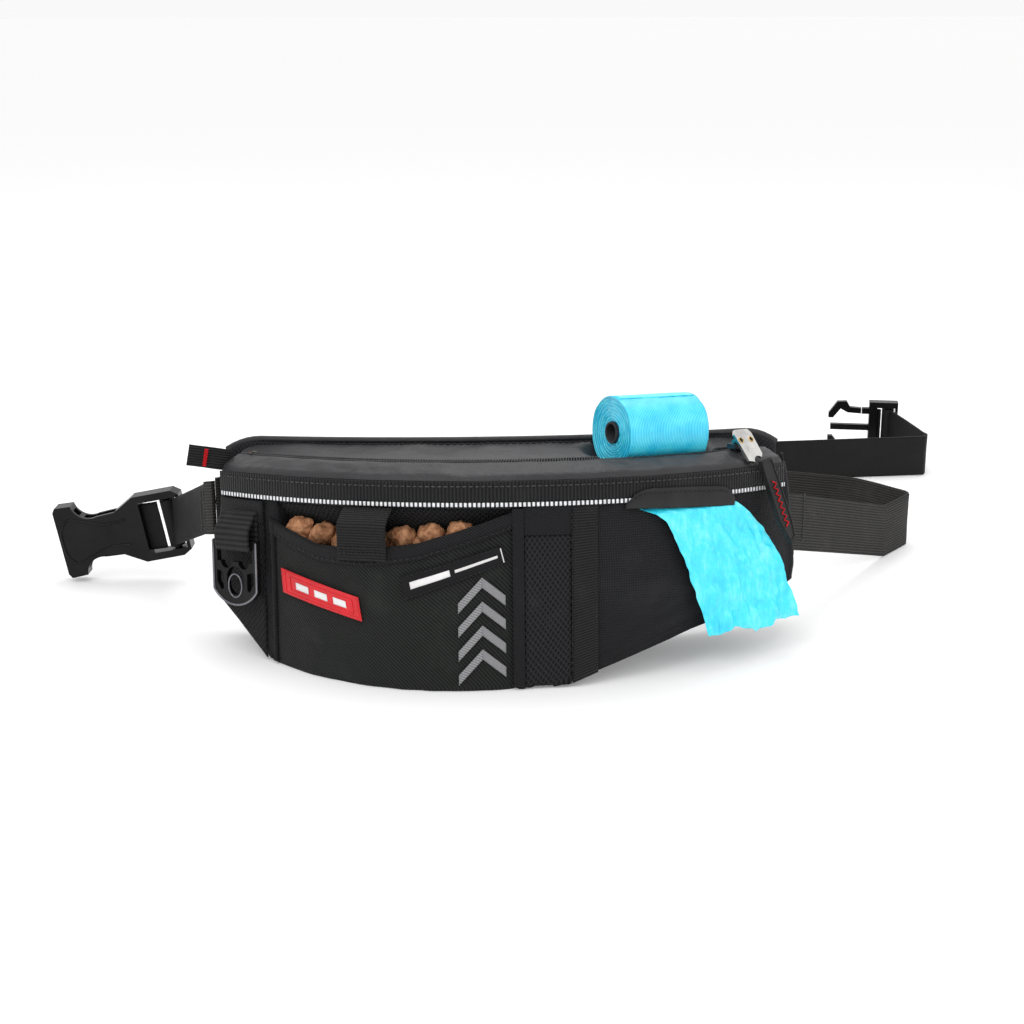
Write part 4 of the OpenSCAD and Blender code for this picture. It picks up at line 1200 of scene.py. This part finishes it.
def build_hardware():
    """Buckles, ring, slider and cores from the CAD, with the rims and stitches they carry."""
    for node, mat, width in HARDWARE:
        bevelled(node, M[mat], width)

    rim = [ring_point(-17.2, -1.9, 1.5)] + [ring_point(-17.2, -1.9, z) for z in steps(0, -15.6, 8)]
    for k in steps(-162, -18, 40):
        t = math.radians(k)
        x, z = 21.2 * math.cos(t), -15.9 + 21.2 * math.sin(t)
        if abs(x) <= 17.2:
            rim.append(ring_point(x, -1.9, z))
    rim += [ring_point(17.2, -1.9, z) for z in steps(-22, 1.5, 10)]
    tube("ring_rim", rim, 0.75, "ring", M["steel"], slot="black_plastic", sides=8)
    tube("ring_oval_rim", circle(ring_point, 0, -1.9, -25.5, 5.3, 7.1, 40), 0.6, "ring",
         M["steel"], slot="black_plastic", sides=8)

    tongue = smooth_path([(30, 9), (44, 8), (58, 12.5), (68, 15.5), (74, 9), (75, 0), (74, -9),
                          (68, -15.5), (58, -12.5), (44, -8), (30, -9)], 8)
    for side, tag in ((1, "back"), (-1, "front")):
        pts = [buckle_to(x, side * 6.0, z) for x, z in tongue]
        tube("tongue_" + tag, pts, 0.85, "socket_buckle", M["plastic"], slot="black_plastic", sides=8)

    tab = frame_to_tab()
    zig = [tab(1.7 if k % 2 else -1.7, -2.75, -14 - k * 2.05) for k in range(15)]
    tube("tab_zigzag", zig, 0.5, "tab", M["red_thread"], slot="black_rubber", sides=6)
    edge = [tab(x, -2.6, z) for x, z in ((-4.6, -1.5), (4.6, -1.5), (5.1, -14), (5.1, -41), (3.6, -50),
                                         (-1, -52), (-5.1, -39), (-5.1, -8), (-4.6, -1.5))]
    tube("tab_rim", edge, 0.45, "tab", M["rubber"], slot="black_rubber", sides=8)

    plate = frame_to_plate()
    for k, x in enumerate((-4.6, 4.6)):
        tube("eyelet_%d" % k, circle(plate, x, -5.7, -2.5, 1.75, 1.75, 24), 0.35, "puller",
             M["brass"], slot="chrome_metal", sides=6)


def slider_frame():
    """The slider's place on the zip: origin, direction along the zip, and direction inwards."""
    t = math.radians(SLIDER_A)
    o = Vector((ZIP_R * math.sin(t), FRONT_C - ZIP_R * math.cos(t), 0))
    return o, Vector((math.cos(t), math.sin(t), 0)), Vector((-math.sin(t), math.cos(t), 0))


def rot_x(y, z, deg):
    t = math.radians(deg)
    return y * math.cos(t) - z * math.sin(t), y * math.sin(t) + z * math.cos(t)


def rot_y(x, z, deg):
    t = math.radians(deg)
    return x * math.cos(t) + z * math.sin(t), -x * math.sin(t) + z * math.cos(t)


def frame_to_tab():
    """Function from the rubber tab's millimetres to world points."""
    o, ex, ey = slider_frame()

    def to(x, y, z):
        x, z = rot_y(x, z, -9)
        y, z = rot_x(y, z, -16)
        p = o + ex * (x + 3.5) + ey * (y - 18.6) + Vector((0, 0, ZIP_W - 5 + z))
        return world(tuple(p))
    return to


def frame_to_plate():
    """Function from the puller plate's millimetres to world points."""
    o, ex, ey = slider_frame()

    def to(x, y, z):
        y, z = rot_x(y, z, -36)
        p = o + ex * x + ey * (y - 2.2) + Vector((0, 0, ZIP_W + 5.4 + z))
        return world(tuple(p))
    return to


# ---------------------------------------------------------------- stage and camera
CAMERA_AT, CAMERA_TILT, CAMERA_TURN, CAMERA_LENS = (-0.0749, -1.0022, 0.400), 73.2, -4, 63.28


def build_stage():
    """White floor and sky, three soft lights and the photo's camera."""
    floor = bpy.data.materials.new("floor_white")
    floor.use_nodes = True
    nt = floor.node_tree
    bs = nt.nodes["Principled BSDF"]
    tex = nt.nodes.new("ShaderNodeTexNoise")
    tex.inputs["Scale"].default_value = 3.0
    ramp = nt.nodes.new("ShaderNodeValToRGB")
    ramp.color_ramp.elements[0].color = (0.80, 0.80, 0.80, 1)
    ramp.color_ramp.elements[1].color = (0.83, 0.83, 0.83, 1)
    nt.links.new(tex.outputs["Fac"], ramp.inputs["Fac"])
    nt.links.new(ramp.outputs["Color"], bs.inputs["Base Color"])
    bs.inputs["Roughness"].default_value = 0.7
    bs.inputs["Emission Color"].default_value = (1, 1, 1, 1)
    bs.inputs["Emission Strength"].default_value = 0.17
    bpy.ops.mesh.primitive_plane_add(size=30, location=(0, 0, -0.0004))
    plane = bpy.context.object
    plane.name = "floor"
    plane.data.materials.append(floor)

    sky = bpy.data.worlds.new("studio")
    bpy.context.scene.world = sky
    sky.use_nodes = True
    sky.node_tree.nodes["Background"].inputs["Color"].default_value = (1, 1, 1, 1)
    sky.node_tree.nodes["Background"].inputs["Strength"].default_value = 0.95

    for name, at, size, power in (("key", (-0.9, -1.1, 1.7), 1.0, 9), ("fill", (1.3, -0.9, 1.2), 0.9, 4),
                                  ("top", (0.1, 0.6, 1.6), 1.0, 9)):
        light = bpy.data.lights.new(name, "AREA")
        light.size = size
        light.energy = power
        ob = bpy.data.objects.new(name, light)
        ob.location = at
        aim = Vector((0, 0.1, 0.06)) - Vector(at)
        ob.rotation_euler = aim.to_track_quat("-Z", "Y").to_euler()
        bpy.context.scene.collection.objects.link(ob)

    cam = bpy.data.cameras.new("photo_view")
    cam.sensor_width = 36
    cam.lens = CAMERA_LENS
    ob = bpy.data.objects.new("photo_view", cam)
    ob.location = CAMERA_AT
    ob.rotation_euler = (math.radians(CAMERA_TILT), 0, math.radians(CAMERA_TURN))
    bpy.context.scene.collection.objects.link(ob)
    bpy.context.scene.camera = ob
    bpy.context.scene.view_settings.view_transform = "Standard"


# ---------------------------------------------------------------- build
build_wall()
build_base()
back_pad = build_back()
build_top()
build_trim()
build_patch_lip()
build_pocket()
build_kibble()
build_labels()
build_ends()
build_loop()
build_roll("zip_bag_roll", ROLL_AT, ROLL_TURN, ROLL_R, "zip_roll", ("bag_roll",))
build_roll("inner_bag_roll", FEED_AT, FEED_TURN, FEED_R, "inner_roll", ("feed_roll",))
tail = build_tail()
build_belt()
build_hardware()
build_stage()
